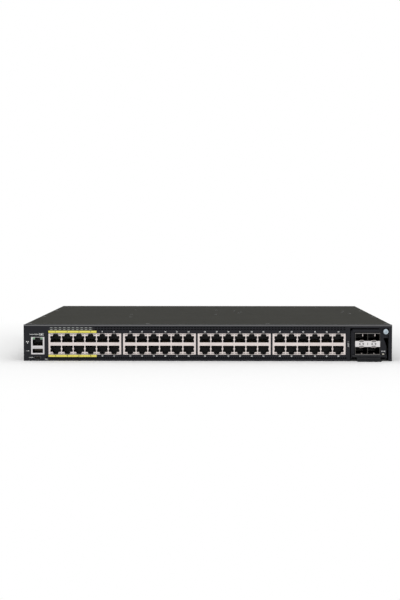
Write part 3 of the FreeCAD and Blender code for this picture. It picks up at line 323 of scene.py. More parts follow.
BEZEL_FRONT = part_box("front_bezel")[0].y
CAGE_LOW, CAGE_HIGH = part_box("sfp_cage")
CAGE_MIDDLE = (CAGE_LOW + CAGE_HIGH) / 2
CAGE_BAND = 7.0 * MM
CAGE_RIM = 0.6 * MM
# Drop, width and colour of the painted highlight line along the bezel's top edge
HIGHLIGHT_DROP = 1.55 * MM
HIGHLIGHT_WIDTH = 0.85 * MM
HIGHLIGHT_PAINT = (0.17, 0.17, 0.172)
STATUS_LENS = 0.25 * MM
LAMP_GAP = 1 * MM
SMOKE = (0.02, 0.021, 0.022)
SLOT_FINISHES = [
    paint("case_paint", (0.034, 0.0338, 0.0285), 0.75, 0.02),
    paint("bezel_paint", (0.0130, 0.0134, 0.0172), 0.42, 0.16),
    sheet_metal("shield_metal", (0.735, 0.665, 0.64), 0.42, "X"),
    # The cage's last colour, inside its bays, is painted shade
    cage_sheet("cage_metal", (0.72, 0.70, 0.70), (0.09, 0.085, 0.08), (0.26, 0.25, 0.24),
               (0.03, 0.027, 0.022), 0.4),
    galvanised("plated_steel", (0.52, 0.53, 0.54), 0.4),
    sheet_metal("screw_steel", (0.52, 0.60, 0.66), 0.3, "Z"),
    plastic("socket_plastic", (0.010, 0.010, 0.012), 0.45),
    plastic("magnetics_plastic", (0.013, 0.013, 0.014), 0.55),
    laminate("board_laminate", (0.012, 0.09, 0.045)),
    plastic("chip_plastic", (0.02, 0.02, 0.02), 0.5),
    sheet_metal("sink_aluminium", (0.62, 0.62, 0.64), 0.35, "Y"),
    light_pipes("light_pipe", "Y", BEZEL_FRONT + STATUS_LENS, (0.30, 0.31, 0.30), SMOKE),
    lamp("lamp_green", (0.10, 0.27, 0.125), 0.1),
    paint("handle_paint", (0.0205, 0.0212, 0.0235), 0.42, 0.18),
    plastic("grip_plastic", (0.016, 0.016, 0.017), 0.5),
    plastic("latch_plastic", (0.13, 0.28, 0.12), 0.45),
    plastic("fan_plastic", (0.014, 0.014, 0.015), 0.5),
    sheet_metal("prong_brass", (0.66, 0.60, 0.47), 0.28, "Y"),
]
FINISHES = {finish.name: finish for finish in SLOT_FINISHES}
YELLOW_INK = printed("yellow_ink", (0.80, 0.72, 0.13))
WHITE_INK = printed("white_ink", (0.74, 0.74, 0.73))
DARK_INK = printed("dark_ink", (0.05, 0.048, 0.03))
# Both golds are darker than gold plating: painted shade deep in the jacks and sockets
SHADED_CONTACT_GOLD = sheet_metal("shaded_contact_gold", (0.22, 0.155, 0.07), 0.35, "Y")
SHADED_SOCKET_GOLD = sheet_metal("shaded_socket_gold", (0.07, 0.05, 0.028), 0.4, "Y")
DULL_STEEL = sheet_metal("dull_steel", (0.13, 0.13, 0.135), 0.45, "X")
BLACK_STEEL = sheet_metal("black_steel", (0.05, 0.05, 0.052), 0.4, "X")
# Near-black cloth; behind the vents its blackness is painted shade for the dark inside of the case
SCREEN_CLOTH = gauze("screen_cloth", (0.002, 0.002, 0.002))
CHIP_CERAMIC = plastic("chip_ceramic", (0.42, 0.33, 0.22), 0.5)
MANAGEMENT_METAL = sheet_metal("management_metal", (0.655, 0.635, 0.64), 0.42, "X")
MODULE_LIGHTS = light_pipes("module_lights", "X", CAGE_HIGH.x + LAMP_GAP, SMOKE, (0.78, 0.75, 0.62))
# The module carrier's dark paint also serves as painted shade in the gap under the faceplate
NODE_FINISHES = {"sfp_light_pipes": MODULE_LIGHTS, "console_shell": DULL_STEEL,
                 "management_shield": MANAGEMENT_METAL, "module_carrier": FINISHES["handle_paint"],
                 "ejector_pin": BLACK_STEEL}
# Paint a highlight line along the bezel's top edge
painted_highlight_line(FINISHES["bezel_paint"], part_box("front_bezel")[1].z - HIGHLIGHT_DROP, HIGHLIGHT_WIDTH, HIGHLIGHT_PAINT)


def dress_nodes():
    """Give every node its own finish or that of its record slot."""
    for part in frame["record"]["subparts"]:
        mesh = frame["nodes"][part["node"]].data
        finish = NODE_FINISHES.get(part["node"], FINISHES[part["material_slot"]])
        mesh.materials.clear()
        mesh.materials.append(finish.material)


# Mesh tools
RECESS_TAPER = 0.7
# A pan head's profile and its recess's reach, arm and depth, as shares of its radius and rise
PAN_PROFILE = [(1.0, 0.0), (1.0, 0.4), (0.93, 0.75), (0.72, 1.0)]
PAN_RECESS = (0.5, 0.13, 0.6)
DOME_STEPS = 4
FACING = {
    "front": Matrix.Rotation(math.radians(90), 4, "X"),
    "rear": Matrix.Rotation(math.radians(-90), 4, "X"),
    "top": Matrix.Identity(4),
}


def facing(side, x, y, z):
    """Give a frame at a place whose Z axis points out of the front, rear or top."""
    return Matrix.Translation((x, y, z)) @ FACING[side]


def block(mesh, low, high):
    """Add a box between two corners."""
    low = Vector(low)
    high = Vector(high)
    size = high - low
    place = Matrix.Translation((low + high) / 2) @ Matrix.Diagonal((*size, 1.0))
    bmesh.ops.create_cube(mesh, size=1.0, matrix=place)


def skin(mesh, rings, closed=True):
    """Join each ring of corners to the next with faces, and close both ends if asked."""
    for near, far in zip(rings, rings[1:]):
        for n in range(len(near)):
            mesh.faces.new((near[n - 1], near[n], far[n], far[n - 1]))
    if closed:
        mesh.faces.new(rings[0])
        mesh.faces.new(rings[-1])


def strip(mesh, path, across, thick):
    """Add a bent sheet strip along a path, this far across either way."""
    rings = []
    for n, point in enumerate(path):
        ahead = path[min(n + 1, len(path) - 1)] - path[max(n - 1, 0)]
        normal = ahead.cross(across).normalized() * thick / 2
        corners = (point + across + normal, point + across - normal, point - across - normal,
                   point - across + normal)
        rings.append([mesh.verts.new(corner) for corner in corners])
    skin(mesh, rings)


def prism(mesh, outline, near, far):
    """Add a flat piece with an outline of (x, z) corners, between two depths."""
    front = [mesh.verts.new((x, near, z)) for x, z in outline]
    back = [mesh.verts.new((x, far, z)) for x, z in outline]
    skin(mesh, [front, back])


def lathe(mesh, profile, place, segments, closed=False):
    """Turn (radius, height, tooth) steps about the Z axis of a place and give the rings.
    Every second corner of a ring steps in by its tooth."""
    rings = []
    for radius, height, tooth in profile:
        ring = []
        for n in range(segments):
            angle = 2 * math.pi * n / segments
            reach = radius - tooth * (n % 2)
            corner = Vector((reach * math.cos(angle), reach * math.sin(angle), height))
            ring.append(mesh.verts.new(place @ corner))
        rings.append(ring)
    skin(mesh, rings, closed)
    return rings


def cross_top(mesh, rim, place, height, reach, arm, depth):
    """Close a ring with a flat top that has a cross recess in it."""
    corners = []
    for quarter in range(4):
        turn = Matrix.Rotation(math.radians(90 * quarter), 4, "Z")
        for x, y in ((reach, -arm), (reach, arm), (arm, arm)):
            corners.append(turn @ Vector((x, y, 0)))
    mouth = [mesh.verts.new(place @ (corner + Vector((0, 0, height)))) for corner in corners]
    foot = [mesh.verts.new(place @ (corner * RECESS_TAPER + Vector((0, 0, height - depth))))
            for corner in corners]
    edges = [mesh.edges.get((rim[n - 1], rim[n])) for n in range(len(rim))]
    edges += [mesh.edges.new((mouth[n - 1], mouth[n])) for n in range(len(mouth))]
    bmesh.ops.triangle_fill(mesh, use_beauty=True, use_dissolve=False, edges=edges)
    skin(mesh, [mouth, foot], closed=False)
    mesh.faces.new(foot)


def pan_screw(mesh, place, radius, rise):
    """Add the low head of a small cross-recess screw."""
    profile = [(across * radius, up * rise, 0) for across, up in PAN_PROFILE]
    rings = lathe(mesh, profile, place, segments=24)
    mesh.faces.new(rings[0])
    reach, arm, depth = PAN_RECESS
    cross_top(mesh, rings[-1], place, rise, reach * radius, arm * radius, depth * rise)


def dome(mesh, place, radius, rise):
    """Add a low dome, for a rivet or a lens."""
    angles = [n * math.pi / 2 / DOME_STEPS for n in range(DOME_STEPS)]
    profile = [(radius * math.cos(angle), rise * math.sin(angle), 0) for angle in angles]
    lathe(mesh, profile, place, segments=20, closed=True)


def round_edges(thing, width):
    """Round the sharp edges of an object by a modifier, and give the modifier."""
    rounding = thing.modifiers.new("edges", "BEVEL")
    rounding.width = width
    rounding.segments = 2
    rounding.limit_method = "ANGLE"
    return rounding


def make_object(name, mesh, finish):
    """Turn a mesh into an object of the scene."""
    data = bpy.data.meshes.new(name)
    mesh.to_mesh(data)
    mesh.free()
    data.materials.append(finish.material)
    thing = bpy.data.objects.new(name, data)
    bpy.context.scene.collection.objects.link(thing)
    return thing


def add_piece(name, mesh, finish, body, smooth=None, bevel=None):
    """Turn a mesh into a piece that rides on a body, with optional smoothing and edge rounding."""
    bmesh.ops.recalc_face_normals(mesh, faces=mesh.faces)
    piece = make_object(name, mesh, finish)
    if smooth is not None:
        piece.data.shade_smooth()
        piece.data.set_sharp_from_angle(angle=math.radians(smooth))
    if bevel is not None:
        round_edges(piece, bevel)
    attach(piece, body)
    return piece


def add_slot_piece(name, mesh, slot, body, smooth=None, bevel=None):
    """Add a piece in the finish of a record slot."""
    return add_piece(name, mesh, FINISHES[slot], body, smooth, bevel)


# Soft edges of the solid nodes, with their widths in millimetres
WELD = 0.001 * MM
SOFT_ANGLE = math.radians(40)
SOFT_NODES = {"ejector_handle": 0.25, "module_faceplate": 0.2, "sfp_cage": 0.08, "management_shield": 0.12,
              "fan_1_frame": 0.15, "fan_2_frame": 0.15, "rear_vent_screen": 0.15}
for number in UNITS:
    for part, width in (("case", 0.15), ("handle", 1.0), ("latch", 0.7), ("inlet", 0.4), ("inlet_pins", 0.4)):
        SOFT_NODES[f"psu_{number}_{part}"] = width


def soften_nodes():
    """Round the sharp edges of the nodes that show."""
    for name, width in SOFT_NODES.items():
        node = frame["nodes"][name]
        weld = node.modifiers.new("weld", "WELD")
        weld.merge_threshold = WELD
        rounding = round_edges(node, width * MM)
        rounding.angle_limit = SOFT_ANGLE
        rounding.use_clamp_overlap = False


# Case
TRAY_WALL = 1 * MM
WALL_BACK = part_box("chassis_tray")[0].y + TRAY_WALL
GAUZE_MARGIN = 0.4 * MM
GAUZE_GAP = 0.05 * MM
GAUZE_THICK = 0.15 * MM
GASKET = 0.9 * MM
COVER_SCREW = 2.6 * MM
COVER_SCREW_RISE = 0.25 * MM
COVER_SIDE_SCREWS = [-178, -53, 72]
COVER_FRONT_SCREWS = [-72, 72]
COVER_REAR_SCREWS = [-106, 0, 106]
COVER_SCREW_INSET = 6 * MM
COVER_END_INSET = 8 * MM
RIVET = 1.7 * MM
RIVET_RISE = 0.5 * MM
RIVETS = [(-104, 280), (11, 277), (36, 258), (188, 252), (45, 232), (184, 227), (41, 211), (192, 203),
          (-103, 184), (10, 181), (-101, 129)]


def add_gaskets():
    """Set foam gaskets against the inside of the front wall, over and beside each jack shield."""
    mesh = bmesh.new()
    near = WALL_BACK + GAUZE_GAP
    far = near + GASKET
    nodes = [f"jack_shield_{number}" for number in range(1, JACK_BLOCKS + 1)] + ["management_shield"]
    for node in nodes:
        low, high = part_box(node)
        block(mesh, (low.x - GASKET, near, high.z), (high.x + GASKET, far, high.z + GASKET))
        block(mesh, (low.x - GASKET, near, low.z), (low.x, far, high.z))
        block(mesh, (high.x, near, low.z), (high.x + GASKET, far, high.z))
    add_piece("shield_gaskets", mesh, SCREEN_CLOTH, "chassis", bevel=0.15 * MM)


def add_vent_shade_gauze():
    """Hang near-black screen cloth on the inside of the front wall, behind the two rows of vents, as painted
    shade for the dark inside of the case.
    """
    mesh = bmesh.new()
    for node in ("vent_screen_top", "vent_screen_bottom"):
        low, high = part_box(node)
        block(mesh, (low.x - GAUZE_MARGIN, WALL_BACK + GAUZE_GAP, low.z - GAUZE_MARGIN),
              (high.x + GAUZE_MARGIN, WALL_BACK + GAUZE_GAP + GAUZE_THICK, high.z + GAUZE_MARGIN))
    add_piece("vent_shade_gauze", mesh, SCREEN_CLOTH, "chassis")


def add_cover_fasteners():
    """Set flat black screws round the cover's edges and black steel rivets in its field."""
    low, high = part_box("top_cover")
    screws = bmesh.new()
    places = [(side * (high.x - COVER_SCREW_INSET), y * MM) for side in (-1, 1) for y in COVER_SIDE_SCREWS]
    places += [(x * MM, low.y + COVER_END_INSET) for x in COVER_FRONT_SCREWS]
    places += [(x * MM, high.y - COVER_END_INSET) for x in COVER_REAR_SCREWS]
    for x, y in places:
        pan_screw(screws, facing("top", x, y, high.z), COVER_SCREW, COVER_SCREW_RISE)
    add_piece("cover_screw_heads", screws, BLACK_STEEL, "chassis", smooth=40)
    rivets = bmesh.new()
    for x, depth in RIVETS:
        dome(rivets, facing("top", x * MM, BEZEL_FRONT + depth * MM, high.z), RIVET, RIVET_RISE)
    add_piece("cover_rivets", rivets, BLACK_STEEL, "chassis", smooth=40)


# Jacks
FINGER_HALF = 0.55 * MM
FINGER_THICK = 0.2 * MM
SLIT_PROUD = 0.03 * MM
SLIT_SUNK = 0.1 * MM
SLOT_HALF = 0.3 * MM
# Way in from the side of the jack, and depth behind its face
SHOULDER_FINGER = [(0.0, 0.0), (0.5, -0.12), (1.35, -0.3), (2.4, -0.2), (2.7, 0.1)]
SHOULDER_FINGER_LEVEL = 0.75 * MM
SHOULDER_SLOT_LEVEL = 1.6 * MM
SHOULDER_SLOT_END = 0.55 * MM
SIDE_TAB = [(0.85, -0.12), (0.25, -0.12), (-0.05, 0.0), (-0.25, 0.35)]
SIDE_TAB_LEVEL = 3.8 * MM
SIDE_TAB_HALF = 0.65 * MM
WEB_SLITS = [(0.4, 2.9), (4.7, 7.3)]
WEB_SLIT_WIDTH = 0.42 * MM
NOTCH_CORNER = 0.7 * MM
NOTCH_SHADE = 0.5 * MM
SHIELD_SHEET = 0.4 * MM
CONTACT_HALF = 0.22 * MM
CONTACT_THICK = 0.22 * MM
CONTACT_PATH = [(4.5, 0.25), (6.0, 0.3), (8.0, 1.5), (10.5, 2.7), (13.0, 3.0)]


def jack_columns():
    """Give each port column's block box and middle, left to right."""
    for number in range(1, JACK_BLOCKS + 1):
        low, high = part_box(f"jack_shield_{number}")
        middle = (low.x + high.x) / 2
        for column in range(PORT_COLUMNS):
            yield low, high, middle + (column - (PORT_COLUMNS - 1) / 2) * PORT_PITCH


def jacks():
    """Give each jack's middle, its base at the band, its way up (1) or down (-1), and its face."""
    for low, high, x in jack_columns():
        level = (low.z + high.z) / 2
        for way in (1, -1):
            yield x, level + way * PORT_BAND / 2, way, low.y


def slit(mesh, face, ends, levels):
    """Add a dark slit on a front face, a thin plate between two ends and two levels in any order; it also
    serves as a strip of painted shade.
    """
    left, right = sorted(ends)
    low, high = sorted(levels)
    block(mesh, (left, face - SLIT_PROUD, low), (right, face + SLIT_SUNK, high))


def shoulder_springs(fingers, slits_and_shade, x, base, way, face):
    """Add the two bright fingers beside a latch notch, each with a dark slit past it."""
    shoulder = base + way * PORT_HEIGHT
    for side in (-1, 1):
        level = shoulder + way * SHOULDER_FINGER_LEVEL
        path = [Vector((x + side * (PORT_WIDTH / 2 - inset * MM), face + depth * MM, level))
                for inset, depth in SHOULDER_FINGER]
        strip(fingers, path, Vector((0, 0, FINGER_HALF)), FINGER_THICK)
        level = shoulder + way * SHOULDER_SLOT_LEVEL
        ends = (x + side * LATCH_WIDTH / 2, x + side * (PORT_PITCH / 2 - SHOULDER_SLOT_END))
        slit(slits_and_shade, face, ends, (level - SLOT_HALF, level + SLOT_HALF))


def side_springs(fingers, slits_and_shade, x, base, way, face):
    """Add the tab that folds from the web into each side of a jack, between its two slits, whose dark plates
    also paint shade on the web.
    """
    for side in (-1, 1):
        edge = x + side * PORT_WIDTH / 2
        level = base + way * SIDE_TAB_LEVEL
        path = [Vector((edge + side * offset * MM, face + depth * MM, level))
                for offset, depth in SIDE_TAB]
        strip(fingers, path, Vector((0, 0, SIDE_TAB_HALF)), FINGER_THICK)
        for levels in WEB_SLITS:
            # The slits are cuts round the tab, and their dark plates also paint shade on the web
            slit(slits_and_shade, face, (edge, edge + side * WEB_SLIT_WIDTH), [base + way * z * MM for z in levels])


def notch_corners(fingers, slits_and_shade, x, base, way, face):
    """Cut off the far corners of a latch notch with small gussets and set a dark strip of painted shade past
    its crown.
    """
    crown = base + way * (PORT_HEIGHT + LATCH_HEIGHT)
    reach = LATCH_WIDTH / 2 - NOTCH_CORNER
    # Painted shade: a dark strip along the shield past the notch's crown
    slit(slits_and_shade, face, (x - reach, x + reach), (crown, crown + way * NOTCH_SHADE))
    for side in (-1, 1):
        edge = x + side * LATCH_WIDTH / 2
        outline = [(edge, crown), (edge - side * NOTCH_CORNER, crown), (edge, crown - way * NOTCH_CORNER)]
        prism(fingers, outline, face, face + SHIELD_SHEET)


def add_jack_springs():
    """Add the springs, slits, painted shade strips and notch corners of all the jacks."""
    fingers = bmesh.new()
    slits_and_shade = bmesh.new()
    for x, base, way, face in jacks():
        shoulder_springs(fingers, slits_and_shade, x, base, way, face)
        side_springs(fingers, slits_and_shade, x, base, way, face)
        notch_corners(fingers, slits_and_shade, x, base, way, face)
    add_slot_piece("jack_spring_fingers", fingers, "shield_metal", "chassis", smooth=50)
    # Dark plates: cuts round the springs, and painted shade
    add_slot_piece("jack_spring_slits_and_shade", slits_and_shade, "socket_plastic", "chassis")


def contact_row(mesh, x, base, way, face):
    """Add the sprung contacts of one jack, which rise from its base towards the back."""
    for contact in range(CONTACTS):
        middle = x + (contact - (CONTACTS - 1) / 2) * CONTACT_PITCH
        path = [Vector((middle, face + depth * MM, base + way * rise * MM)) for depth, rise in CONTACT_PATH]
        strip(mesh, path, Vector((CONTACT_HALF, 0, 0)), CONTACT_THICK)


def add_jack_contacts():
    """Add the contacts of all the jacks, the management one too."""
    mesh = bmesh.new()
    for x, base, way, face in jacks():
        contact_row(mesh, x, base, way, face)
    low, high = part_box("management_shield")
    contact_row(mesh, (low.x + high.x) / 2, low.z + MANAGEMENT_JACK_BASE, 1, low.y)
    add_piece("jack_contacts", mesh, SHADED_CONTACT_GOLD, "chassis")


# Management sockets
USB_CONTACTS = [-3.5, -1.0, 1.0, 3.5]
CONSOLE_CONTACTS = [-1.6, -0.8, 0.0, 0.8, 1.6]
TONGUES = [("usb_tongue", 1.9, 0.0, USB_CONTACTS, 0.5, 6.0),
           ("console_tongue", 0.9, 0.45, CONSOLE_CONTACTS, 0.2, 3.0)]
TONGUE_SHEET = 0.1 * MM
CONTACT_LIFT = 0.12 * MM
FOLD_LEVEL = 7.8 * MM
FOLD_INSET = 1.6 * MM
FOLD_HALF = 0.08 * MM


def tongue_contacts(mesh, node, thick, rise, offsets, half, length):
    """Wrap gold contacts round the tip of a tongue, at a rise over its node's middle, with sizes in mm."""
    low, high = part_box(node)
    level = (low.z + high.z) / 2 + rise * MM
    reach = thick / 2 * MM + CONTACT_LIFT
    back = low.y + length * MM
    corners = [(back, level - reach), (low.y, level - reach), (low.y - CONTACT_LIFT, level),
               (low.y, level + reach), (back, level + reach)]
    for offset in offsets:
        x = (low.x + high.x) / 2 + offset * MM
        strip(mesh, [Vector((x, y, z)) for y, z in corners], Vector((half * MM, 0, 0)), TONGUE_SHEET)


def add_socket_contacts():
    """Add the contacts of the two small sockets."""
    mesh = bmesh.new()
    for tongue in TONGUES:
        tongue_contacts(mesh, *tongue)
    add_piece("socket_contacts", mesh, SHADED_SOCKET_GOLD, "chassis")


def add_management_crease_shade():
    """Add a dark strip of painted shade along the fold across the management shield, between its two sockets.
    """
    low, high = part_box("management_shield")
    mesh = bmesh.new()
    level = low.z + FOLD_LEVEL
    # Painted shade: a thin black plate along the crease
    slit(mesh, low.y, (low.x + FOLD_INSET, high.x - FOLD_INSET), (level - FOLD_HALF, level + FOLD_HALF))
    add_slot_piece("management_fold_shade", mesh, "socket_plastic", "chassis")


# Print on the bezel and the module
INK = 0.06 * MM
NUMBER_SIZE = 2.2 * MM
NUMBER_WEIGHT = 0.035
WORD_WEIGHT = 0.012
UPPER_BAND = (33.65 * MM, 36.15 * MM)
LOWER_BAND = (4.7 * MM, 7.2 * MM)
BAND_RIGHT_MARGIN = 0.1 * MM
# Words, place, size and turn in degrees
SOCKET_LABELS = [("MANAGEMENT", -206.9, 31.7, 1.7, 0), ("CONSOLE", -211.2, 4.0, 1.2, 0),
                 ("RESET", -192.7, 2.0, 1.4, 0), ("SLOT 1", 168.0, 20.4, 2.1, 90)]
JACK_MARK = (-198.6, 31.7)
NETWORK_MARK = (-215.4, 22.2)
PLUG_MARK = (-215.2, 11.9)
JACK_SIGN = [(-2.4, -1.3, 2.4, -1.02), (-2.4, 1.02, 2.4, 1.3), (-2.4, -1.02, -2.12, 1.02),
             (2.12, -1.02, 2.4, 1.02), (-1.2, -0.6, 1.2, 0.1), (-0.6, 0.1, 0.6, 0.6)]
NETWORK_SIGN = [(-1.7, 0.3, -0.7, 1.3), (0.7, 0.3, 1.7, 1.3), (-0.5, -1.4, 0.5, -0.4),
                (-0.7, 0.65, 0.7, 0.93), (-0.14, -0.4, 0.14, 0.65)]
PLUG_SIGN = [(-1.6, -0.14, 0.7, 0.14)]
PLUG_TIP = [(0.7, -0.7), (1.9, 0.0), (0.7, 0.7)]
LAMP_LABEL = ("PWR", 11.4, 2.3)


def print_words(mesh, words, size, place, weight=WORD_WEIGHT):
    """Add a few words or a number to a mesh, flat at a place and thickened by a share of their size."""
    curve = bpy.data.curves.new("print", "FONT")
    curve.body = words
    curve.size = size
    curve.align_x = "CENTER"
    curve.align_y = "CENTER"
    curve.resolution_u = 3
    curve.offset = weight * size
    curve.extrude = INK / 2
    text = bpy.data.objects.new("print", curve)
    data = bpy.data.meshes.new_from_object(text)
    data.transform(place)
    mesh.from_mesh(data)
    bpy.data.objects.remove(text)
    bpy.data.curves.remove(curve)
    bpy.data.meshes.remove(data)


def add_port_numbers():
    """Print odd numbers over the columns and even ones under them, dark on the yellow bands."""
    white = bmesh.new()
    dark = bmesh.new()
    for column, (_, _, x) in enumerate(jack_columns()):
        for row, band in enumerate((UPPER_BAND, LOWER_BAND)):
            on_yellow = column < POE_COLUMNS
            depth = INK * (2 if on_yellow else 1)
            place = facing("front", x, BEZEL_FRONT - depth + INK / 2, sum(band) / 2)
            number = str(2 * column + row + 1)
            print_words(dark if on_yellow else white, number, NUMBER_SIZE, place, NUMBER_WEIGHT)
    add_piece("port_numbers", white, WHITE_INK, "chassis")
    add_piece("port_numbers_on_bands", dark, DARK_INK, "chassis")


def add_socket_labels():
    """Print the plain words beside the small sockets and, on end, beside the module's slot."""
    mesh = bmesh.new()
    for words, x, z, size, turn in SOCKET_LABELS:
        place = facing("front", x * MM, BEZEL_FRONT - INK / 2, z * MM)
        print_words(mesh, words, size * MM, place @ Matrix.Rotation(math.radians(turn), 4, "Z"))
    add_piece("socket_labels", mesh, WHITE_INK, "chassis")


def add_socket_marks():
    """Print the small signs by the management sockets: a jack, a network and a plug."""
    mesh = bmesh.new()
    for (x, z), bars in ((JACK_MARK, JACK_SIGN), (NETWORK_MARK, NETWORK_SIGN), (PLUG_MARK, PLUG_SIGN)):
        for left, low, right, high in bars:
            block(mesh, ((x + left) * MM, BEZEL_FRONT - INK, (z + low) * MM),
                  ((x + right) * MM, BEZEL_FRONT, (z + high) * MM))
    x, z = PLUG_MARK
    tip = [((x + across) * MM, (z + up) * MM) for across, up in PLUG_TIP]
    prism(mesh, tip, BEZEL_FRONT - INK, BEZEL_FRONT)
    add_piece("socket_marks", mesh, WHITE_INK, "chassis")


def add_yellow_bands():
    """Print the yellow bands over and under the powered ports."""
    mesh = bmesh.new()
    columns = [x for _, _, x in jack_columns()]
    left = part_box("jack_shield_1")[0].x
    right = columns[POE_COLUMNS - 1] + PORT_PITCH / 2 + BAND_RIGHT_MARGIN
    for low, high in (UPPER_BAND, LOWER_BAND):
        block(mesh, (left, BEZEL_FRONT - INK, low), (right, BEZEL_FRONT, high))
    add_piece("powered_port_bands", mesh, YELLOW_INK, "chassis")


# Plug-in module
CAGE_WALL = 0.5 * MM
CAGE_PORT_WIDTH = 14.1 * MM
CAGE_PORT_HEIGHT = 8.8 * MM
PLATE_THICK = 1.2 * MM
LAMP_WIDTH = 2.6 * MM
CAGE_SPRING_HALF = 1.2 * MM
CAGE_SPRING_SHEET = 0.25 * MM
LATCH_SPRING = [(-3.3, 0.0), (-2.4, 0.55), (-1.2, 0.8), (1.2, 0.8), (2.4, 0.55), (3.3, 0.0)]
BAY_FINGERS = {1: (1.5, 3.2), -1: (0.4, 1.2)}
BAY_FINGER_HALF = 0.45 * MM
# Depth in the bay and share of the finger's drop
BAY_FINGER_PATH = [(0.3, 0.0), (0.9, 0.15), (1.6, 0.6), (1.9, 1.0)]
CONNECTOR_DEPTH = 30 * MM
CONNECTOR_LENGTH = 12 * MM
CONNECTOR_HALF = 5.6 * MM
CONNECTOR_SLOT = 4 * MM
CONNECTOR_GAP = 0.8 * MM
CONNECTOR_TOP = 3.0 * MM
BAND_MARK_RISE = 0.9 * MM
BAND_MARK_HALF = (0.5 * MM, 0.55 * MM)
HEAD_LENGTHS = {"front": 5.0 * MM, "rear": 9.0 * MM}
# Share of the head's radius, height from its foot or crown, and depth of its teeth
HEAD_FOOT = [(0.8, 0.0, 0.0), (0.92, 0.3, 0.0), (1.0, 0.6, 0.22)]
HEAD_CROWN = [(1.0, -0.9, 0.22), (0.92, -0.6, 0.0), (0.84, -0.2, 0.0), (0.7, 0.0, 0.0)]
SCREW_SHANK = 1.4 * MM
SCREW_TIP = 1.0 * MM
SCREW_POINT = 0.6
SCREW_RECESS = (0.52, 0.16, 1.6 * MM)
THREAD_MARGIN = 1.5 * MM
THREAD_PITCH = 0.7 * MM
THREAD_GROOVE = 0.25 * MM
THREAD_ROOT = 0.85
HANDLE_PLATE = 1.4 * MM
DIMPLE_LEVEL = 2.7 * MM
DIMPLE_FOOT = 0.75 * MM
DIMPLE_TOP = 0.6 * MM
DIMPLE_RISE = 0.08 * MM
MODULE_CHIPS = [(-8, 20, 13, 1.6), (10, 26, 9, 1.2), (-10, 46, 7, 1.1), (9, 50, 10, 1.4), (-6, 66, 5, 1.0)]
CAPACITOR_GRID = (7, 2)
CAPACITOR_START = (6 * MM, 5 * MM)
CAPACITOR_PITCH = (4.6 * MM, 5.5 * MM)
CAPACITOR_HALF = (1.0 * MM, 0.6 * MM)
CAPACITOR_HEIGHT = 0.7 * MM


def cage_bays():
    """Give each cage bay's middle, its edge at the band and its way out from the band."""
    for column in (-0.5, 0.5):
        x = CAGE_MIDDLE.x + column * (CAGE_PORT_WIDTH + CAGE_WALL)
        for way in (1, -1):
            yield x, CAGE_MIDDLE.z + way * CAGE_BAND / 2, way


def add_cage_springs():
    """Add the latch springs at the band and the grounding fingers inside the bays."""
    mesh = bmesh.new()
    face = CAGE_LOW.y
    for x, edge, way in cage_bays():
        path = [Vector((x + offset * MM, face + CAGE_SPRING_HALF, edge + way * rise * MM))
                for offset, rise in LATCH_SPRING]
        strip(mesh, path, Vector((0, CAGE_SPRING_HALF, 0)), CAGE_SPRING_SHEET)
        outer = edge + way * CAGE_PORT_HEIGHT
        offset, drop = BAY_FINGERS[way]
        path = [Vector((x + offset * MM, face + depth * MM, outer - way * share * drop * MM))
                for depth, share in BAY_FINGER_PATH]
        strip(mesh, path, Vector((BAY_FINGER_HALF, 0, 0)), CAGE_SPRING_SHEET)
    add_slot_piece("cage_springs", mesh, "shield_metal", "module", smooth=50)


def add_cage_connectors():
    """Add the edge connector at the back of each bay, a block with a slot."""
    mesh = bmesh.new()
    near = CAGE_LOW.y + CONNECTOR_DEPTH
    far = near + CONNECTOR_LENGTH
    for x, edge, way in cage_bays():
        left = x - CONNECTOR_HALF
        right = x + CONNECTOR_HALF
        middle = edge + way * CAGE_PORT_HEIGHT / 2
        for low, high in ((-CONNECTOR_TOP, -CONNECTOR_GAP), (CONNECTOR_GAP, CONNECTOR_TOP)):
            block(mesh, (left, near, middle + low), (right, far, middle + high))
        block(mesh, (left, near + CONNECTOR_SLOT, middle - CONNECTOR_GAP),
              (right, far, middle + CONNECTOR_GAP))
    add_slot_piece("cage_connectors", mesh, "socket_plastic", "module")


def add_band_mark():
    """Print the small mark between the two pairs of arrows."""
    mesh = bmesh.new()
    across, up = BAND_MARK_HALF
    for rise in (-BAND_MARK_RISE, BAND_MARK_RISE):
        level = CAGE_MIDDLE.z + rise
        block(mesh, (CAGE_MIDDLE.x - across, CAGE_LOW.y - INK, level - up),
              (CAGE_MIDDLE.x + across, CAGE_LOW.y, level + up))
    add_piece("cage_band_mark", mesh, DARK_INK, "module")


def add_lamp_label():
    """Print the plain word over the module's lamp."""
    words, level, size = LAMP_LABEL
    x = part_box("sfp_light_pipes")[1].x - LAMP_WIDTH / 2
    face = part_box("module_faceplate")[1].y - PLATE_THICK
    mesh = bmesh.new()
    print_words(mesh, words, size * MM, facing("front", x, face - INK / 2, level * MM))
    add_piece("lamp_label", mesh, WHITE_INK, "module")


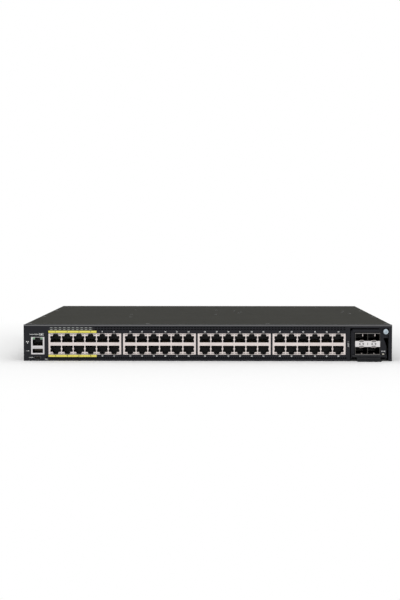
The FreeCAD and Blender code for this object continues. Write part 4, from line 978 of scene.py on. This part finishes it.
def add_knurled_screw(name, node, body, side):
    """Replace a plain captive screw by one with a knurled head, a cross recess and a grooved shank."""
    low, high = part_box(node)
    radius = (high.x - low.x) / 2
    total = high.y - low.y
    end = low.y if side == "front" else high.y
    place = facing(side, (low.x + high.x) / 2, end, (low.z + high.z) / 2)
    length = HEAD_LENGTHS[side]
    shank = SCREW_SHANK
    profile = [(shank * SCREW_POINT, -total, 0), (shank, SCREW_TIP - total, 0)]
    turn = THREAD_MARGIN - total
    while turn < -length - THREAD_MARGIN:
        profile += [(shank, turn, 0), (shank * THREAD_ROOT, turn + THREAD_GROOVE, 0),
                    (shank, turn + 2 * THREAD_GROOVE, 0)]
        turn += THREAD_PITCH
    profile.append((shank, -length, 0))
    for start, steps in ((-length, HEAD_FOOT), (0.0, HEAD_CROWN)):
        profile += [(radius * share, start + rise * MM, tooth * MM) for share, rise, tooth in steps]
    mesh = bmesh.new()
    rings = lathe(mesh, profile, place, segments=48)
    mesh.faces.new(rings[0])
    reach, arm, depth = SCREW_RECESS
    cross_top(mesh, rings[-1], place, 0, radius * reach, radius * arm, depth)
    piece = add_slot_piece(name, mesh, "screw_steel", body, smooth=35)
    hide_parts(node)


def add_pull_lip_shade_dot():
    """Add the small centre dimple of the pull lip as a low black disc, whose darkness is painted shade."""
    pin_low, pin_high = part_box("ejector_pin")
    low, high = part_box("ejector_handle")
    face = (pin_low.y + pin_high.y - HANDLE_PLATE) / 2
    profile = [(DIMPLE_FOOT, 0, 0), (DIMPLE_TOP, DIMPLE_RISE, 0)]
    mesh = bmesh.new()
    place = facing("front", (low.x + high.x) / 2, face, DIMPLE_LEVEL)
    lathe(mesh, profile, place, segments=20, closed=True)
    # Painted shade: the dimple's hollow is drawn as a black disc
    add_slot_piece("handle_dimple_shade", mesh, "socket_plastic", "ejector")


def add_module_board_parts():
    """Populate the module's board with chips and two rows of capacitors."""
    low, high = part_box("module_board")

    def place(mesh, x, y, half_x, half_y, height):
        block(mesh, (x - half_x, y - half_y, high.z), (x + half_x, y + half_y, high.z + height))

    chips = bmesh.new()
    for across, along, size, height in MODULE_CHIPS:
        half = size * MM / 2
        place(chips, (low.x + high.x) / 2 + across * MM, CAGE_HIGH.y + along * MM, half, half, height * MM)
    capacitors = bmesh.new()
    for column in range(CAPACITOR_GRID[0]):
        for row in range(CAPACITOR_GRID[1]):
            x = low.x + CAPACITOR_START[0] + column * CAPACITOR_PITCH[0]
            y = CAGE_HIGH.y + CAPACITOR_START[1] + row * CAPACITOR_PITCH[1]
            place(capacitors, x, y, *CAPACITOR_HALF, CAPACITOR_HEIGHT)
    add_slot_piece("module_chips", chips, "chip_plastic", "module", bevel=0.15 * MM)
    add_piece("module_capacitors", capacitors, CHIP_CERAMIC, "module", bevel=0.1 * MM)


# Rear units
SMALL_SCREW = 1.6 * MM
SMALL_SCREW_RISE = 0.7 * MM
PSU_FAN_INSET = 23.5 * MM
PSU_FAN_SCREWS = (16 * MM, 16 * MM)
INLET_INSET = 15 * MM
LENS = 1.1 * MM
LENS_DROP = 5 * MM
FAN_LENS = 0.8 * MM
FAN_LENS_INSET = 2 * MM
LENS_RISE = 0.5 * MM
FAN_SCREWS = (17.5 * MM, 15.5 * MM)
FAN_TRAY_HALF = 22 * MM
IMPELLER_BLADES = 5
HUB_RADIUS = 7.0 * MM
HUB_BORE = 1.55 * MM
HUB_EDGE = 0.6 * MM
BLADE_ROWS = 6
BLADE_COLUMNS = 6
BLADE_CHORD = 11.0 * MM
BLADE_SWEEP = math.radians(26)
BLADE_PITCH = (math.radians(50), math.radians(36))
BLADE_CAMBER = 0.7 * MM
BLADE_HALF = 0.5 * MM
BLADE_EDGE = 0.3


def corner_screws(unit, name, x, y, z, reach):
    """Add the four screws at the corners of a unit's fan."""
    mesh = bmesh.new()
    for side in (-1, 1):
        for row in (-1, 1):
            place = facing("rear", x + side * reach[0], y, z + row * reach[1])
            pan_screw(mesh, place, SMALL_SCREW, SMALL_SCREW_RISE)
    add_slot_piece(f"{unit}_{name}", mesh, "screw_steel", unit, smooth=40)


def status_lens(unit, x, y, z, radius):
    """Add the green status lens of a unit."""
    mesh = bmesh.new()
    dome(mesh, facing("rear", x, y, z), radius, LENS_RISE)
    add_slot_piece(f"{unit}_lens", mesh, "lamp_green", unit, smooth=60)


def add_unit_details():
    """Add the fan screws and the status lens of each power supply and fan tray."""
    for number in UNITS:
        unit = f"psu_{number}"
        low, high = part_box(f"{unit}_case")
        level = (low.z + high.z) / 2
        corner_screws(unit, "fan_screws", low.x + PSU_FAN_INSET, high.y, level, PSU_FAN_SCREWS)
        status_lens(unit, high.x - INLET_INSET, high.y, high.z - LENS_DROP, LENS)
        unit = f"fan_{number}"
        low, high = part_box(f"{unit}_frame")
        level = (low.z + high.z) / 2
        corner_screws(unit, "frame_screws", low.x + FAN_TRAY_HALF, high.y, level, FAN_SCREWS)
        status_lens(unit, low.x + FAN_LENS_INSET, high.y, level, FAN_LENS)


def impeller_blade(mesh, place, hub, tip, turn):
    """Add one swept and twisted blade, thick in the middle and thin at its edges."""
    rows = []
    for row in range(BLADE_ROWS + 1):
        share = row / BLADE_ROWS
        radius = hub + (tip - hub) * share
        pitch = BLADE_PITCH[0] + (BLADE_PITCH[1] - BLADE_PITCH[0]) * share
        lines = {1: [], -1: []}
        for column in range(BLADE_COLUMNS + 1):
            along = column / BLADE_COLUMNS - 0.5
            bulge = 1 - (2 * along) ** 2
            angle = turn + BLADE_SWEEP * share + along * BLADE_CHORD * math.cos(pitch) / radius
            level = along * BLADE_CHORD * math.sin(pitch) + BLADE_CAMBER * bulge
            half = BLADE_HALF * (BLADE_EDGE + (1 - BLADE_EDGE) * bulge)
            for side, line in lines.items():
                corner = Vector((radius * math.cos(angle), radius * math.sin(angle), level + side * half))
                line.append(mesh.verts.new(place @ corner))
        rows.append(lines[1] + lines[-1][::-1])
    skin(mesh, rows)


def add_impeller(name, unit, x, z):
    """Replace a unit's plain fan wheel by one with a rounded hub and swept blades."""
    node = f"{unit}_impeller"
    low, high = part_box(node)
    place = facing("rear", x, (low.y + high.y) / 2, z)
    reach = (high.y - low.y) / 2
    mesh = bmesh.new()
    edge = HUB_RADIUS - HUB_EDGE
    profile = [(HUB_BORE, -reach, 0), (edge, -reach, 0), (HUB_RADIUS, -reach + HUB_EDGE, 0),
               (HUB_RADIUS, reach - HUB_EDGE, 0), (edge, reach, 0), (HUB_BORE, reach, 0),
               (HUB_BORE, -reach, 0)]
    lathe(mesh, profile, place, segments=32)
    bmesh.ops.remove_doubles(mesh, verts=mesh.verts, dist=WELD)
    for blade in range(IMPELLER_BLADES):
        turn = 2 * math.pi * blade / IMPELLER_BLADES - math.pi / 2
        impeller_blade(mesh, place, edge, high.z - z, turn)
    piece = add_slot_piece(name, mesh, "fan_plastic", f"{unit}_rotor", smooth=35)
    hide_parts(node)


def add_impellers():
    """Add the wheels of the power supplies' fans and of the fan trays."""
    for number in UNITS:
        low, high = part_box(f"psu_{number}_case")
        level = (low.z + high.z) / 2
        add_impeller(f"psu_{number}_fan_wheel", f"psu_{number}", low.x + PSU_FAN_INSET, level)
        low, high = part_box(f"fan_{number}_frame")
        level = (low.z + high.z) / 2
        add_impeller(f"fan_{number}_wheel", f"fan_{number}", low.x + FAN_TRAY_HALF, level)


# Stage, in metres and watts
WHITE = (1.0, 1.0, 1.0, 1.0)
FLOOR_HALF = 30.0
FLOOR_PAPER = (0.93, 0.93, 0.93)
FADE_START = 0.28
FADE_END = 0.62
SURROUND_LIGHT = 0.85
SOFTBOXES = [("overhead", (0.0, 0.2, 2.2), (0.0, 0.0, 0.0), 3.0, 3.0, 10.0),
             ("front_strip", (0.0, -1.05, 0.55), (0.0, -0.19, 0.03), 1.6, 0.08, 1.5)]


def seen_rays(nodes, links):
    """Give 1 for rays from the camera, a reflection or a clear body, and 0 for the light that falls."""
    path = nodes.new("ShaderNodeLightPath")
    factor = path.outputs["Is Camera Ray"]
    for ray in ("Is Glossy Ray", "Is Transmission Ray"):
        either = nodes.new("ShaderNodeMath")
        either.operation = "MAXIMUM"
        links.new(factor, either.inputs[0])
        links.new(path.outputs[ray], either.inputs[1])
        factor = either.outputs["Value"]
    return factor


def add_floor():
    """Make a pale paper floor that fades to plain white away from the object."""
    finish = Finish("floor_paper", FLOOR_PAPER, 0.9, specular=0.0)
    nodes = finish.tree.nodes
    distance = finish.node("ShaderNodeVectorMath")
    distance.operation = "LENGTH"
    finish.link(finish.coords, distance.inputs[0])
    away = finish.spread(distance.outputs["Value"], FADE_START, FADE_END)
    away.node.interpolation_type = "SMOOTHSTEP"
    factor = finish.compute("MULTIPLY", away, seen_rays(nodes, finish.tree.links))
    white = finish.node("ShaderNodeEmission", Color=WHITE, Strength=1.0)
    mix = finish.node("ShaderNodeMixShader")
    finish.link(factor, mix.inputs["Fac"])
    finish.link(finish.shader.outputs["BSDF"], mix.inputs[1])
    finish.link(white.outputs["Emission"], mix.inputs[2])
    finish.link(mix.outputs["Shader"], nodes["Material Output"].inputs["Surface"])
    mesh = bmesh.new()
    bmesh.ops.create_grid(mesh, x_segments=1, y_segments=1, size=FLOOR_HALF)
    floor = make_object("floor", mesh, finish)


def add_surround():
    """Light the object from all round, with plain white behind it."""
    world = bpy.data.worlds.new("surround")
    bpy.context.scene.world = world
    world.use_nodes = True
    nodes = world.node_tree.nodes
    links = world.node_tree.links
    nodes.clear()
    mix = nodes.new("ShaderNodeMixShader")
    links.new(seen_rays(nodes, links), mix.inputs["Fac"])
    for strength, target in zip((SURROUND_LIGHT, 1.0), mix.inputs[1:]):
        background = nodes.new("ShaderNodeBackground")
        background.inputs["Color"].default_value = WHITE
        background.inputs["Strength"].default_value = strength
        links.new(background.outputs["Background"], target)
    output = nodes.new("ShaderNodeOutputWorld")
    links.new(mix.outputs["Shader"], output.inputs["Surface"])


def aim(thing, place, target):
    """Put a lamp or a camera at a place, facing a point."""
    thing.location = place
    thing.rotation_mode = "QUATERNION"
    thing.rotation_quaternion = (Vector(target) - Vector(place)).to_track_quat("-Z", "Y")
    bpy.context.scene.collection.objects.link(thing)


def add_softbox(name, place, target, width, depth, power):
    """Hang a soft rectangular lamp that faces a point."""
    data = bpy.data.lights.new(name, "AREA")
    data.shape = "RECTANGLE"
    data.size = width
    data.size_y = depth
    data.energy = power
    aim(bpy.data.objects.new(name, data), place, target)


def add_camera():
    """Set the camera where the photograph was taken from."""
    data = bpy.data.cameras.new("camera")
    data.sensor_width = SENSOR
    data.lens = SENSOR * FOCAL_PIXELS / IMAGE_HEIGHT
    data.clip_start = CLIP_NEAR
    data.clip_end = CLIP_FAR
    camera = bpy.data.objects.new("camera", data)
    aim(camera, CAMERA_PLACE, CAMERA_TARGET)
    bpy.context.scene.camera = camera


dress_nodes()
soften_nodes()
add_gaskets()
add_vent_shade_gauze()
add_cover_fasteners()
add_jack_springs()
add_jack_contacts()
add_socket_contacts()
add_management_crease_shade()
add_yellow_bands()
add_port_numbers()
add_socket_labels()
add_socket_marks()
add_cage_springs()
add_cage_connectors()
add_band_mark()
add_lamp_label()
add_knurled_screw("module_captive_screw", "module_screw", "captive_screw", "front")
add_pull_lip_shade_dot()
add_module_board_parts()
add_unit_details()
add_impellers()
for tray in UNITS:
    add_knurled_screw(f"fan_{tray}_captive_screw", f"fan_{tray}_screw", f"fan_{tray}_thumbscrew", "rear")
add_floor()
add_surround()
for softbox in SOFTBOXES:
    add_softbox(*softbox)
add_camera()
bpy.context.scene.view_settings.view_transform = "Standard"
